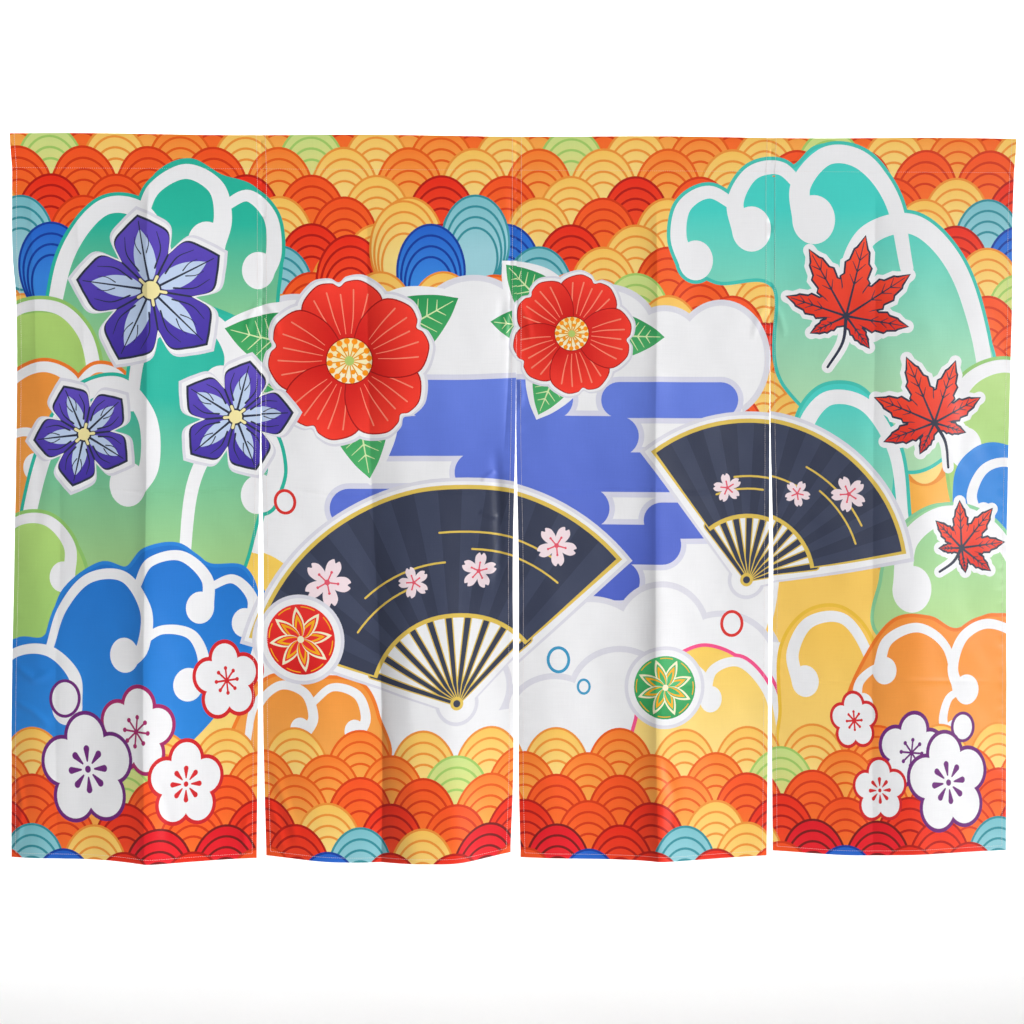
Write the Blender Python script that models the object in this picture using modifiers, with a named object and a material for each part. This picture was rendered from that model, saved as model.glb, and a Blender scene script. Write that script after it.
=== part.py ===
"""A shop-doorway curtain of four printed cloth panels under one flat rod pocket.

Frame: the origin is the middle of the top fold, +Z is up, the printed side faces -Y and +X is
to the right as seen from the printed side. The cloth hangs down from z = 0. Metres.
"""

import math

import bmesh
import bpy

# Driving sizes
DROP = 1.200  # top fold to bottom hem, at a panel's straight edge
POCKET = 0.057  # top fold to the line of stitches that closes the rod pocket
HALF_WIDTH = 0.8375  # middle of the curtain to either end of the pocket
CLOTH = 0.0015  # thickness of every sheet
GAP = 0.00055  # from the stitch line to a panel's top edge, which leaves 0.3 mm between them
STEP_ACROSS = 0.021  # widest stretch between two columns of a panel
ROW_DROPS = (0.0, 0.03, 0.07, 0.12, 0.17, 0.23, 0.30, 0.37, 0.44, 0.51, 0.58, 0.65, 0.72)
ROW_DROPS += (0.79, 0.86, 0.93, 1.0)  # shares of the way from the pocket to the hem

# Each panel's two edges, at a row of heights below the top fold. Neighbours touch at the top,
# where they are sewn together, and part lower down.
EDGES = {
    "panel_1": (
        # drop, left, right
        (0.057, -0.8365, -0.4242),
        (0.200, -0.8356, -0.4242),
        (0.270, -0.8300, -0.4242),
        (0.500, -0.8294, -0.4266),
        (0.710, -0.8327, -0.4303),
        (0.950, -0.8372, -0.4309),
        (1.190, -0.8373, -0.4330),
    ),
    "panel_2": (
        # drop, left, right
        (0.057, -0.4238, -0.0002),
        (0.270, -0.4238, -0.0002),
        (0.500, -0.4252, -0.0026),
        (0.710, -0.4218, -0.0072),
        (0.950, -0.4228, -0.0060),
        (1.080, -0.4203, -0.0068),
        (1.190, -0.4173, -0.0110),
    ),
    "panel_3": (
        # drop, left, right
        (0.057, 0.0002, 0.4248),
        (0.270, 0.0002, 0.4248),
        (0.500, -0.0012, 0.4232),
        (0.710, 0.0024, 0.4220),
        (0.950, 0.0026, 0.4208),
        (1.080, 0.0028, 0.4196),
        (1.190, 0.0055, 0.4180),
    ),
    "panel_4": (
        # drop, left, right
        (0.057, 0.4252, 0.8365),
        (0.150, 0.4252, 0.8335),
        (0.270, 0.4252, 0.8332),
        (0.500, 0.4252, 0.8274),
        (0.710, 0.4294, 0.8235),
        (0.950, 0.4270, 0.8235),
        (1.190, 0.4284, 0.8224),
    ),
}

# The folds across each panel. Places are shares of the panel's width, under the pocket and at
# the hem. The rise is how far the cloth stands towards the viewer there, as a share of the
# panel's deepest fold, and the bend is how softly the cloth turns at that line.
FOLDS = {
    "panel_1": (
        # under the pocket, at the hem, rise, bend
        (0.00, 0.00, 0.00, 0.004),
        (0.10, 0.11, 0.34, 0.020),
        (0.30, 0.32, 0.52, 0.020),
        (0.55, 0.575, 1.00, 0.003),
        (0.76, 0.75, 0.52, 0.018),
        (1.00, 1.00, 0.00, 0.004),
    ),
    "panel_2": (
        # under the pocket, at the hem, rise, bend
        (0.00, 0.00, 0.00, 0.004),
        (0.20, 0.23, 0.58, 0.022),
        (0.42, 0.49, 0.62, 0.005),
        (0.52, 0.61, 1.00, 0.012),
        (0.68, 0.77, 0.94, 0.016),
        (1.00, 1.00, 0.00, 0.004),
    ),
    "panel_3": (
        # under the pocket, at the hem, rise, bend
        (0.00, 0.00, 0.00, 0.004),
        (0.12, 0.12, 0.40, 0.018),
        (0.34, 0.34, 0.56, 0.022),
        (0.545, 0.55, 0.70, 0.005),
        (0.61, 0.62, 1.00, 0.010),
        (0.72, 0.71, 0.66, 0.018),
        (1.00, 1.00, 0.00, 0.004),
    ),
    "panel_4": (
        # under the pocket, at the hem, rise, bend
        (0.00, 0.00, 0.00, 0.004),
        (0.15, 0.14, 0.48, 0.020),
        (0.38, 0.34, 0.74, 0.022),
        (0.62, 0.60, 1.00, 0.024),
        (0.82, 0.81, 0.46, 0.022),
        (1.00, 1.00, 0.00, 0.004),
    ),
}

# How far each panel's deepest fold stands out, as it opens towards the hem: (drop, depth).
DEPTHS = {
    "panel_1": ((0.057, 0.0), (0.15, 0.012), (0.30, 0.024), (0.60, 0.034), (1.20, 0.043)),
    "panel_2": ((0.057, 0.0), (0.30, 0.008), (0.60, 0.022), (0.80, 0.036), (1.20, 0.054)),
    "panel_3": ((0.057, 0.0), (0.30, 0.006), (0.60, 0.018), (0.80, 0.028), (1.20, 0.042)),
    "panel_4": ((0.057, 0.0), (0.30, 0.012), (0.60, 0.026), (0.80, 0.030), (1.20, 0.034)),
}

# How far the hem falls short of the drop, or past it (negative): (share of the width, short).
HEMS = {
    "panel_1": ((0.0, 0.0025), (0.4, 0.001), (0.575, -0.0035), (0.7, -0.001), (1.0, 0.0005)),
    "panel_2": ((0.0, 0.0045), (0.3, -0.002), (0.63, -0.0035), (0.8, -0.001), (1.0, 0.0050)),
    "panel_3": ((0.0, -0.0005), (0.3, -0.001), (0.65, -0.0030), (0.85, -0.001), (1.0, -0.0010)),
    "panel_4": ((0.0, 0.0085), (0.3, 0.0055), (0.63, 0.0040), (0.85, 0.0045), (1.0, 0.0060)),
}

# The rod pocket's own form
POCKET_FRONT = 0.0020  # how far its front layer bows out, and its back layer
POCKET_BACK = 0.0070
POCKET_SQUARE = 2.5  # 2 is an ellipse, more is squarer
POCKET_FLARE = 0.0035  # how much further out its top corners reach than its stitched edge
POCKET_WAVE = 0.0010  # rise and fall of its top fold
POCKET_WAVES = 3.5  # from end to end
POCKET_ALONG = 30  # steps along it, and around it
POCKET_AROUND = 24

COLOURS = {
    "heading": (0.94, 0.30, 0.05),
    "panel_1": (0.30, 0.62, 0.50),
    "panel_2": (0.86, 0.83, 0.80),
    "panel_3": (0.86, 0.45, 0.38),
    "panel_4": (0.55, 0.72, 0.50),
}


def between(table, at, column=1):
    """The table's column at a place, its first column, on straight lines between rows."""
    for low, high in zip(table, table[1:]):
        if at <= high[0]:
            break
    share = min(max((at - low[0]) / (high[0] - low[0]), 0.0), 1.0)
    return low[column] + share * (high[column] - low[column])


def stops_at(folds, down):
    """Where the fold lines cross the panel, at a share of the way down."""
    return [top + down * (hem - top) for top, hem, _, _ in folds]


def rise_across(folds, down, width, at):
    """How far the cloth stands out at a share of the width: straight flanks between the fold
    lines, and a soft bend at each line."""
    stops = stops_at(folds, down)
    rises = [fold[2] for fold in folds]
    slopes = [(b - a) / (v - u) for u, v, a, b in zip(stops, stops[1:], rises, rises[1:])]
    total = rises[0] + (slopes[0] + slopes[-1]) / 2 * at
    for stop, fold, before, after in zip(stops[1:], folds[1:], slopes, slopes[1:]):
        bend = fold[3] / width
        total += (after - before) / 2 * (math.hypot(at - stop, bend) - math.hypot(stop, bend))
    return total


def columns_of(folds, width):
    """The columns of a panel as (span, share of the span), with one on every fold line."""
    columns = []
    for span, (left, right) in enumerate(zip(folds, folds[1:])):
        steps = math.ceil((right[0] - left[0]) * width / STEP_ACROSS)
        columns += [(span, step / steps) for step in range(steps)]
    return columns + [(len(folds) - 2, 1.0)]


def cloth_point(name, column, down):
    """A point of a panel's middle surface, from its column and its share of the way down."""
    folds = FOLDS[name]
    top = POCKET + GAP
    drop = top + down * (DROP - top)
    left, right = (between(EDGES[name], drop, side) for side in (1, 2))
    stops = stops_at(folds, down)
    span, share = column
    at = stops[span] + share * (stops[span + 1] - stops[span])
    width = right - left
    depth = between(DEPTHS[name], drop) * rise_across(folds, down, width, at)
    short = between(HEMS[name], at) * down
    return left + at * width, -depth, short - drop


def sheet_object(name, bm):
    """An object for a sheet's middle surface, which Solidify gives the cloth's thickness."""
    bmesh.ops.recalc_face_normals(bm, faces=bm.faces)
    mesh = bpy.data.meshes.new(name)
    bm.to_mesh(mesh)
    bm.free()
    mesh.shade_smooth()
    made = bpy.data.objects.new(name, mesh)
    thick = made.modifiers.new("Thickness", "SOLIDIFY")
    thick.thickness = CLOTH
    thick.use_even_offset = True
    material = bpy.data.materials.new(name)
    material.use_nodes = True
    shader = material.node_tree.nodes["Principled BSDF"]
    shader.inputs["Base Color"].default_value = (*COLOURS[name], 1.0)
    shader.inputs["Roughness"].default_value = 0.45
    shader.inputs["Metallic"].default_value = 0.0
    mesh.materials.append(material)
    return made


def grid_of(columns, rows):
    """A flat grid, with each vertex's column and row."""
    bm = bmesh.new()
    made = bmesh.ops.create_grid(bm, x_segments=columns, y_segments=rows, size=0.5)
    return bm, [
        (vertex, round((vertex.co.x + 0.5) * columns), round((vertex.co.y + 0.5) * rows))
        for vertex in made["verts"]
    ]


def panel(name):
    """One hemmed length of cloth, hanging from the pocket's stitches in its folds."""
    width = between(EDGES[name], POCKET, 2) - between(EDGES[name], POCKET, 1)
    columns = columns_of(FOLDS[name], width)
    bm, places = grid_of(len(columns) - 1, len(ROW_DROPS) - 1)
    for vertex, column, row in places:
        vertex.co = cloth_point(name, columns[column], ROW_DROPS[row])
    made = sheet_object(name, bm)
    made.modifiers["Thickness"].offset = 0.0
    return made


def pocket_point(along, around):
    """A point of the pocket's inner surface: a share from end to end, and a share of the turn
    that starts at the stitches and goes up the front and down the back."""
    turn = 2 * math.pi * around - math.pi / 2
    out, up = math.cos(turn), math.sin(turn)
    power = 2 / POCKET_SQUARE
    bow = POCKET_FRONT if out > 0 else POCKET_BACK
    y = -math.copysign(abs(out) ** power, out) * bow
    height = (math.copysign(abs(up) ** power, up) + 1) / 2
    wave = POCKET_WAVE * math.sin(2 * math.pi * POCKET_WAVES * along) * height
    x = (2 * along - 1) * (HALF_WIDTH + POCKET_FLARE * height)
    return x, y, -POCKET + CLOTH + height * (POCKET - 2 * CLOTH) + wave


def pocket():
    """The flat tube along the top that a rod goes through."""
    bm, places = grid_of(POCKET_ALONG, POCKET_AROUND)
    for vertex, column, row in places:
        vertex.co = pocket_point(column / POCKET_ALONG, row / POCKET_AROUND)
    bmesh.ops.remove_doubles(bm, verts=bm.verts, dist=1e-5)
    made = sheet_object("heading", bm)
    made.modifiers["Thickness"].offset = 1.0
    return made


for old in list(bpy.data.objects):
    bpy.data.objects.remove(old, do_unlink=True)

curtain = bpy.data.collections.new("doorway_curtain")
bpy.context.scene.collection.children.link(curtain)
curtain.objects.link(pocket())
for panel_name in EDGES:
    curtain.objects.link(panel(panel_name))
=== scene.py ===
import math

import bpy
import numpy as np
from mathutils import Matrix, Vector, geometry


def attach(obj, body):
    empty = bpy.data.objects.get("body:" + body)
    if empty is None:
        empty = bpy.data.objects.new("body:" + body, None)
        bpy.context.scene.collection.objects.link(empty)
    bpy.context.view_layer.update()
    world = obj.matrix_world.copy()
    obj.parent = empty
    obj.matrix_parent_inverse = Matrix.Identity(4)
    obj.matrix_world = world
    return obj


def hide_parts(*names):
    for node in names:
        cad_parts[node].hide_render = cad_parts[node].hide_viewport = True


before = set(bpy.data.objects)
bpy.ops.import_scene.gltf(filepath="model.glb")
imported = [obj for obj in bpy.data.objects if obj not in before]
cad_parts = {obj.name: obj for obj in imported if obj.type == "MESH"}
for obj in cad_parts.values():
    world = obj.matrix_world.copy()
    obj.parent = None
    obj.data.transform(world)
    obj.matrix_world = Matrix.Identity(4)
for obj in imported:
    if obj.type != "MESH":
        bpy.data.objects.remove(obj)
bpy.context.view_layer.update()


# ---- Printed waves -------------------------------------------------------------------------
# The cloth is polyester, printed from one side in one run before it is cut into its four
# lengths. Along the top and the foot it carries waves like scales, each row over the one above.

# The print is drawn in millimetres on the flat cloth: across from the curtain's left edge, and
# down from the top fold, so what goes over the fold to the back counts as less than zero.
ROUNDNESS = 0.15  # how far a round edge may stray from its true curve
CLOTH_ACROSS = 1673
WAVE_HALF = 58
WAVE_TALL = 80  # half the height of a whole scale, most of which is hidden
WAVE_PITCH = 108
FIRST_WAVE = -0.9  # where a row without shift starts, in pitches
WAVE_RINGS = 4
WAVE_RING_STEP = 0.112  # how much smaller each inner ring is
WAVE_LINE = 3.8  # width of the line round every ring
WAVE_BLEND = 95  # from the crest down
WAVE_COLOURS = {
    # crest, foot, line
    "orange": ("ff7e2c", "ffb654", "ee5e18"),
    "vermilion": ("fc5220", "ff772c", "dc3a12"),
    "red": ("f02a16", "fc5026", "b81a10"),
    "amber": ("ffc85c", "ffe08a", "f2963a"),
    "green": ("cbe48c", "ecdf86", "a4cf68"),
    "teal": ("7ac2cc", "a2d6e0", "34929e"),
    "blue": ("2464d0", "3a8ae4", "163fa0"),
    "crimson": ("e41624", "ff2a34", "7c1a18"),
}
TOP_WAVES = (
    # drop of the crests, shift as a share of the pitch, the colours that take turns
    (-92, 0.5, ("orange", "amber")),
    (-56, 0.0, ("vermilion", "orange")),
    (-14, 0.5, ("amber", "green", "amber", "orange")),
    (21, 0.0, 5 * ("vermilion",) + 4 * ("orange", "amber") + 4 * ("vermilion",)),
    (66, 0.5, ("amber", "red", "vermilion")),
    (102, 0.0, ("teal", "amber", "vermilion", "amber")),
    (147, 0.5, ("blue", "red", "amber", "red")),
    (184, 0.0, ("amber", "teal", "amber", "vermilion")),
    (228, 0.5, ("amber", "green", "vermilion")),
    (265, 0.0, ("vermilion", "amber")),
    (310, 0.5, ("red", "vermilion", "amber")),
    (346, 0.0, ("vermilion", "orange")),
    (390, 0.5, ("amber", "vermilion")),
    (426, 0.0, ("vermilion", "amber")),
)
TALL_WAVES = (
    # across, drop of the crest, colours: scales that stand over the rows, so they show whole
    (14, 102, "teal"), (66, 147, "blue"), (561, 165, "red"), (650, 108, "amber"),
    (769, 98, "teal"), (695, 147, "blue"), (800, 232, "orange"), (610, 226, "amber"),
    (716, 226, "amber"), (655, 264, "green"), (604, 312, "vermilion"), (760, 270, "amber"),
)
printed = []  # corners, first colour, second colour, where the blend starts, where it ends


def tone(code):
    """A colour's linear values, from its six-figure screen code."""
    parts = np.array([int(code[place : place + 2], 16) for place in (0, 2, 4)]) / 255
    return np.where(parts > 0.04045, ((parts + 0.055) / 1.055) ** 2.4, parts / 12.92)


def ink(corners, colour, second=None, start=None, stop=None):
    """Prints a closed shape over what is there. It may blend to a second colour, from its top
    to its foot unless it is told where."""
    corners = np.asarray(corners, float)
    if start is None:
        start, stop = (0, corners[:, 1].min()), (0, corners[:, 1].max())
    second = second or colour
    printed.append((corners, tone(colour), tone(second), np.array(start), np.array(stop)))


def arc(x, y, wide, tall, start, stop):
    """Points round an ellipse, by angles that turn anticlockwise from its right-hand side."""
    bend = 2 * math.acos(1 - ROUNDNESS / max(wide, tall, 2 * ROUNDNESS))
    steps = max(4, math.ceil(math.radians(abs(stop - start)) / bend))
    turn = np.radians(np.linspace(start, stop, steps + 1))
    return np.stack([x + wide * np.cos(turn), y - tall * np.sin(turn)], 1)


def oval(x, y, wide, tall=None):
    return arc(x, y, wide, tall or wide, 0, 360)[:-1]


def wave(x, crest, colours):
    """One scale: nested ovals that all meet at its foot."""
    upper, lower, edge = colours
    foot = crest + 2 * WAVE_TALL
    for ring in range(WAVE_RINGS):
        size = 1 - WAVE_RING_STEP * ring
        wide, tall = WAVE_HALF * size, WAVE_TALL * size
        ink(oval(x, foot - tall, wide, tall), edge)
        inner = oval(x, foot - tall, wide - WAVE_LINE, tall - WAVE_LINE)
        ink(inner, upper, lower, (0, crest), (0, crest + WAVE_BLEND))


def waves(rows):
    for crest, shift, colours in rows:
        for place in range(math.ceil(CLOTH_ACROSS / WAVE_PITCH) + 2):
            x = WAVE_PITCH * (shift + FIRST_WAVE + place)
            wave(x, crest, WAVE_COLOURS[colours[place % len(colours)]])


# the ground under everything, wider than the cloth
ink([(-20, -80), (1700, -80), (1700, 1230), (-20, 1230)], "ffb850")
waves(TOP_WAVES)
for x, crest, colours in TALL_WAVES:
    wave(x, crest, WAVE_COLOURS[colours])


# ---- Printed surf and clouds ---------------------------------------------------------------
# Dyed into the same cloth: rolling surf with pale crests that curl into balls, down both sides
# and along the foot, and white clouds with blue mist between them.
WHITE = "f4f4f6"
PALE = "e0dfe8"  # the line round everything that stands on white
BALL_TALL = 1.15  # the balls are a little taller than wide
TAIL = 0.62  # a crest's width at its tail, as a share of its width at the ball
SURF_RIM = 6  # width of the line round the surf, and then round the clouds and the mist
CLOUD_RIM = 10
MIST_RIM = 9


def curve(*points, closed=False):
    """A smooth line through a few points."""
    spots = np.asarray(points, float)
    if closed:
        spots = np.vstack([spots[-1], spots, spots[:2]])
    else:
        spots = np.vstack([2 * spots[0] - spots[1], spots, 2 * spots[-1] - spots[-2]])
    stretches = []
    for before, start, stop, after in zip(spots, spots[1:], spots[2:], spots[3:]):
        steps = max(6, round(math.hypot(*(stop - start)) / 5))
        t = np.linspace(0, 1, steps, endpoint=False)[:, None]
        bend = (2 * before - 5 * start + 4 * stop - after) * t**2
        turn = (3 * start - before - 3 * stop + after) * t**3
        stretches.append((2 * start + (stop - before) * t + bend + turn) / 2)
    if not closed:
        stretches.append(spots[-2:-1])
    return np.vstack(stretches)


def ahead(path):
    """The way a path runs at each of its points, as steps of length 1."""
    way = np.gradient(path, axis=0)
    return way / np.hypot(*way.T)[:, None]


def sideways(way):
    return np.stack([way[:, 1], -way[:, 0]], 1)


def line(path, width, last_width=None):
    """The outline of a line drawn along a path, with round ends."""
    path = np.asarray(path, float)
    along = ahead(path)
    half = np.linspace(width, last_width or width, len(path))[:, None] / 2
    side = sideways(along) * half
    last = math.degrees(math.atan2(-along[-1, 1], along[-1, 0]))
    first = math.degrees(math.atan2(along[0, 1], -along[0, 0]))
    last_end = arc(*path[-1], half[-1, 0], half[-1, 0], last + 90, last - 90)[1:-1]
    first_end = arc(*path[0], half[0, 0], half[0, 0], first + 90, first - 90)[1:-1]
    return np.vstack([path + side, last_end, (path - side)[::-1], first_end])


def surf(body, crests, edge, upper, lower, start, stop):
    """A swell with pale crests. Each crest is its width, its ball, the way it rolls (1 to the
    right, -1 to the left) and the points along it. The swell blends between two drops."""
    drawn = []
    for width, ball, way, points in crests:
        path = curve(*points)
        along = path[-1] - path[-3]
        inward = way * np.array([-along[1], along[0]]) / math.hypot(*along)
        drawn.append((path, width, ball, path[-1] + inward * (ball - width / 2)))
    swell = curve(*body, closed=True)
    ink(line(np.vstack([swell, swell[:1]]), 2 * SURF_RIM), edge)
    for path, width, ball, end in drawn:
        ink(line(path, TAIL * width + 2 * SURF_RIM, width + 2 * SURF_RIM), edge)
        ink(oval(*end, ball + SURF_RIM, BALL_TALL * ball + SURF_RIM), edge)
    ink(swell, upper, lower, (0, start), (0, stop))
    for path, width, ball, end in drawn:
        ink(line(path, TAIL * width, width), WHITE)
        ink(oval(*end, ball, BALL_TALL * ball), WHITE)


def cloud(puffs):
    """White puffs that run together inside one pale line: across, drop, half width, height."""
    for x, y, wide, tall in puffs:
        ink(oval(x, y, wide + CLOUD_RIM, tall + CLOUD_RIM), PALE)
    for x, y, wide, tall in puffs:
        ink(oval(x, y, wide, tall), WHITE)


def mist(bars, edge, upper, lower):
    """Round-ended bars that run together: from, to, drop, half height."""
    top = min(drop - half for _, _, drop, half in bars)
    foot = max(drop + half for _, _, drop, half in bars)
    for layer, first, second in ((MIST_RIM, edge, edge), (0, upper, lower)):
        for start, stop, drop, half in bars:
            end = half + layer
            right = arc(stop, drop, end, end, -90, 90)
            left = arc(start, drop, end, end, 90, 270)
            ink(np.vstack([right, left]), first, second, (0, top), (0, foot))


# white ground behind the middle
cloud((
    (360, 420, 70, 80), (470, 345, 74, 70), (560, 395, 60, 60), (650, 350, 72, 60),
    (765, 312, 80, 70), (880, 352, 66, 60), (985, 322, 78, 66), (1085, 352, 60, 60),
    (1180, 372, 74, 90),
))
ink([(300, 420), (470, 350), (770, 330), (1000, 340), (1200, 380), (1360, 1100), (250, 1100)], WHITE)

# warm ground behind the curls of the foot
left_ground = [(250, 760), (330, 690), (420, 700), (500, 742), (590, 736), (640, 770), (650, 850)]
left_ground += [(620, 930), (540, 1010), (250, 1020)]
ink(curve(*left_ground, closed=True), "ffd45c", "ffdc80")
right_ground = [(1290, 620), (1360, 600), (1420, 700), (1520, 780), (1660, 840), (1660, 1040)]
right_ground += [(1200, 1040), (1180, 900), (1260, 820)]
ink(curve(*right_ground, closed=True), "ffcc58", "ffd878")

# the left side, from the back to the front
body = [(70, 300), (95, 180), (150, 112), (215, 116), (244, 66), (295, 46), (345, 72), (400, 92)]
body += [(438, 150), (440, 250), (400, 420), (200, 520), (60, 440)]
first = [(52, 420), (66, 290), (98, 190), (152, 124), (212, 128), (248, 184), (250, 262), (226, 300)]
second = [(216, 150), (236, 92), (288, 62), (338, 88), (350, 140), (338, 186)]
third = [(352, 120), (392, 102), (428, 138), (434, 196), (420, 232)]
crests = [(34, 29, 1, first), (32, 31, 1, second), (28, 27, 1, third)]
surf(body, crests, "2cb8a0", "28baa0", "a6d48e", 150, 400)

body = [(-40, 330), (20, 300), (80, 306), (118, 350), (122, 430), (60, 500), (-40, 500)]
first = [(-44, 330), (10, 290), (74, 292), (118, 336), (134, 400), (128, 440)]
surf(body, [(26, 24, 1, first)], "98cc6c", "b8de78", "a4d070", 300, 480)

body = [(-40, 440), (20, 396), (84, 396), (112, 414), (150, 392), (190, 430), (180, 620), (-40, 620)]
first = [(-40, 470), (-6, 410), (48, 388), (96, 410), (104, 456), (90, 492)]
second = [(100, 424), (136, 392), (176, 402), (196, 440), (190, 470)]
third = [(-40, 560), (-16, 508), (22, 496), (48, 524), (44, 556)]
crests = [(22, 24, 1, first), (18, 20, 1, second), (18, 20, 1, third)]
surf(body, crests, "f47c2c", "f99a40", "f9a64c", 400, 600)

body = [(20, 700), (40, 560), (86, 458), (150, 412), (196, 404), (214, 340), (270, 292), (340, 296)]
body += [(400, 340), (420, 460), (410, 640), (330, 780), (40, 780)]
first = [(8, 780), (24, 640), (56, 520), (106, 440), (176, 420), (226, 470), (232, 548), (208, 590)]
second = [(200, 452), (216, 362), (268, 308), (330, 312), (366, 362), (362, 422)]
third = [(288, 770), (304, 580), (360, 492), (420, 500), (438, 556), (424, 604)]
crests = [(34, 32, 1, first), (32, 31, 1, second), (28, 28, 1, third)]
surf(body, crests, "2cb8a0", "30bca6", "a6d28c", 440, 720)

body = [(-40, 720), (10, 650), (60, 640), (110, 690), (130, 760), (120, 860), (-40, 860)]
first = [(-44, 700), (0, 646), (56, 642), (96, 684), (96, 736)]
surf(body, [(22, 22, 1, first)], "96cc70", "b6de7c", "a8d474", 650, 820)

# the right side, from the back to the front
body = [(1105, 190), (1108, 130), (1150, 88), (1200, 92), (1240, 46), (1300, 52), (1340, 18), (1400, 22)]
body += [(1452, 70), (1480, 130), (1560, 170), (1606, 280), (1640, 420), (1500, 560), (1290, 420)]
body += [(1270, 250), (1170, 240)]
first = [(1206, 116), (1160, 92), (1118, 116), (1108, 168), (1124, 212)]
second = [(1318, 88), (1280, 52), (1232, 60), (1204, 108), (1214, 158)]
third = [(1492, 220), (1470, 110), (1420, 42), (1358, 30), (1314, 80), (1318, 140)]
fourth = [(1640, 470), (1616, 330), (1572, 210), (1504, 146), (1428, 164), (1396, 236), (1410, 306)]
crests = [(30, 29, -1, first), (31, 33, -1, second), (36, 36, -1, third), (40, 38, -1, fourth)]
surf(body, crests, "44c8b8", "46d6ca", "b4e2b6", 120, 440)

body = [(1300, 560), (1310, 470), (1350, 420), (1410, 420), (1450, 470), (1470, 560), (1440, 660)]
body += [(1330, 660)]
first = [(1486, 640), (1472, 530), (1426, 452), (1362, 438), (1322, 486), (1330, 540)]
surf(body, [(28, 28, -1, first)], "44c8b8", "4cd6cc", "98dcb8", 430, 640)

body = [(1720, 420), (1660, 390), (1600, 404), (1568, 450), (1562, 540), (1600, 660), (1720, 660)]
first = [(1730, 420), (1670, 384), (1606, 404), (1572, 462), (1580, 524)]
surf(body, [(30, 30, -1, first)], "98cc74", "bce08c", "a8d478", 400, 640)

body = [(1720, 560), (1660, 520), (1610, 530), (1580, 580), (1600, 700), (1720, 700)]
first = [(1730, 590), (1680, 548), (1632, 556), (1608, 600), (1620, 640)]
surf(body, [(20, 20, -1, first)], "2c8ce0", "2a86dc", "3090e4", 540, 700)

body = [(1460, 840), (1450, 740), (1480, 660), (1550, 620), (1630, 650), (1680, 720), (1720, 860)]
first = [(1730, 860), (1700, 740), (1640, 656), (1560, 634), (1496, 676), (1484, 756)]
surf(body, [(34, 34, -1, first)], "8cd09c", "a0d8a0", "bce094", 640, 850)

# blue mist in the middle, and white clouds before it
mist((
    (690, 900, 440, 33), (600, 1010, 500, 33), (770, 1150, 560, 33), (560, 960, 620, 33),
    (820, 1080, 680, 33), (1010, 1180, 440, 30), (1080, 1250, 640, 30), (500, 700, 740, 33),
    (900, 1010, 740, 33),
), "dcdcec", "6a84e4", "5468cc")
cloud((
    (420, 840, 70, 60), (560, 880, 90, 70), (700, 860, 84, 74), (838, 800, 84, 92),
    (960, 860, 96, 84), (1080, 830, 74, 80), (1180, 880, 90, 80), (1260, 930, 60, 60),
))
ink([(380, 850), (1280, 850), (1280, 1060), (380, 1060)], WHITE)
cloud(((640, 950, 74, 66), (760, 920, 66, 66), (1010, 930, 80, 72), (900, 960, 70, 56)))
ink([(560, 960), (1120, 960), (1120, 1060), (560, 1060)], WHITE)

# blue, orange and yellow curls along the foot
body = [(-40, 1060), (-40, 880), (10, 842), (60, 836), (90, 760), (150, 716), (196, 722), (228, 690)]
body += [(280, 682), (330, 716), (390, 724), (410, 790), (380, 900), (300, 1000), (200, 1060)]
first = [(66, 850), (86, 788), (130, 738), (192, 734), (230, 786), (226, 846), (204, 872)]
second = [(214, 748), (236, 708), (286, 698), (328, 736), (330, 784)]
third = [(330, 752), (372, 738), (404, 770), (402, 812)]
fourth = [(224, 838), (258, 818), (304, 828), (324, 872), (312, 914)]
fifth = [(-40, 900), (8, 860), (64, 858), (108, 898), (112, 950)]
crests = [(22, 25, 1, first), (21, 23, 1, second), (20, 21, 1, third), (21, 24, 1, fourth)]
crests += [(22, 26, 1, fifth)]
surf(body, crests, "2c86dc", "2478d2", "2e8ae0", 700, 1000)

body = [(384, 1040), (392, 950), (430, 904), (486, 908), (530, 900), (580, 910), (606, 960), (610, 1040)]
first = [(396, 1010), (408, 950), (444, 916), (486, 926), (500, 964), (486, 992)]
second = [(496, 944), (532, 914), (574, 926), (588, 964), (576, 990)]
surf(body, [(18, 18, 1, first), (18, 17, 1, second)], "f6802c", "f99a3e", "f9a850", 900, 1020)

body = [(1050, 1040), (1040, 960), (1060, 890), (1110, 862), (1160, 850), (1220, 880), (1270, 960)]
body += [(1280, 1040)]
first = [(1166, 938), (1150, 896), (1116, 878), (1076, 900), (1068, 944)]
second = [(1280, 1010), (1262, 930), (1216, 878), (1168, 888), (1154, 934)]
surf(body, [(18, 19, -1, first), (18, 19, -1, second)], "fb5590", "ffd564", "ffe08c", 850, 1040)

body = [(1290, 1040), (1280, 960), (1280, 860), (1320, 800), (1380, 790), (1430, 840), (1450, 940)]
body += [(1450, 1040)]
first = [(1448, 980), (1430, 876), (1386, 808), (1326, 814), (1298, 866), (1308, 916)]
surf(body, [(22, 23, -1, first)], "f4c440", "ffcc58", "ffd878", 790, 1040)

body = [(1400, 1050), (1390, 960), (1420, 880), (1470, 812), (1530, 808), (1580, 830), (1650, 806)]
body += [(1720, 840), (1720, 1050)]
first = [(1580, 930), (1562, 856), (1512, 822), (1460, 842), (1444, 890)]
second = [(1730, 950), (1700, 850), (1644, 818), (1594, 838), (1574, 890), (1588, 932)]
third = [(1458, 894), (1440, 888), (1412, 912), (1408, 950)]
fourth = [(1604, 928), (1588, 930), (1566, 942), (1556, 978), (1568, 1004)]
crests = [(19, 20, -1, first), (20, 22, -1, second), (17, 18, -1, third), (17, 19, -1, fourth)]
surf(body, crests, "f47c2c", "f9963c", "f9a44c", 810, 1030)

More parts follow.
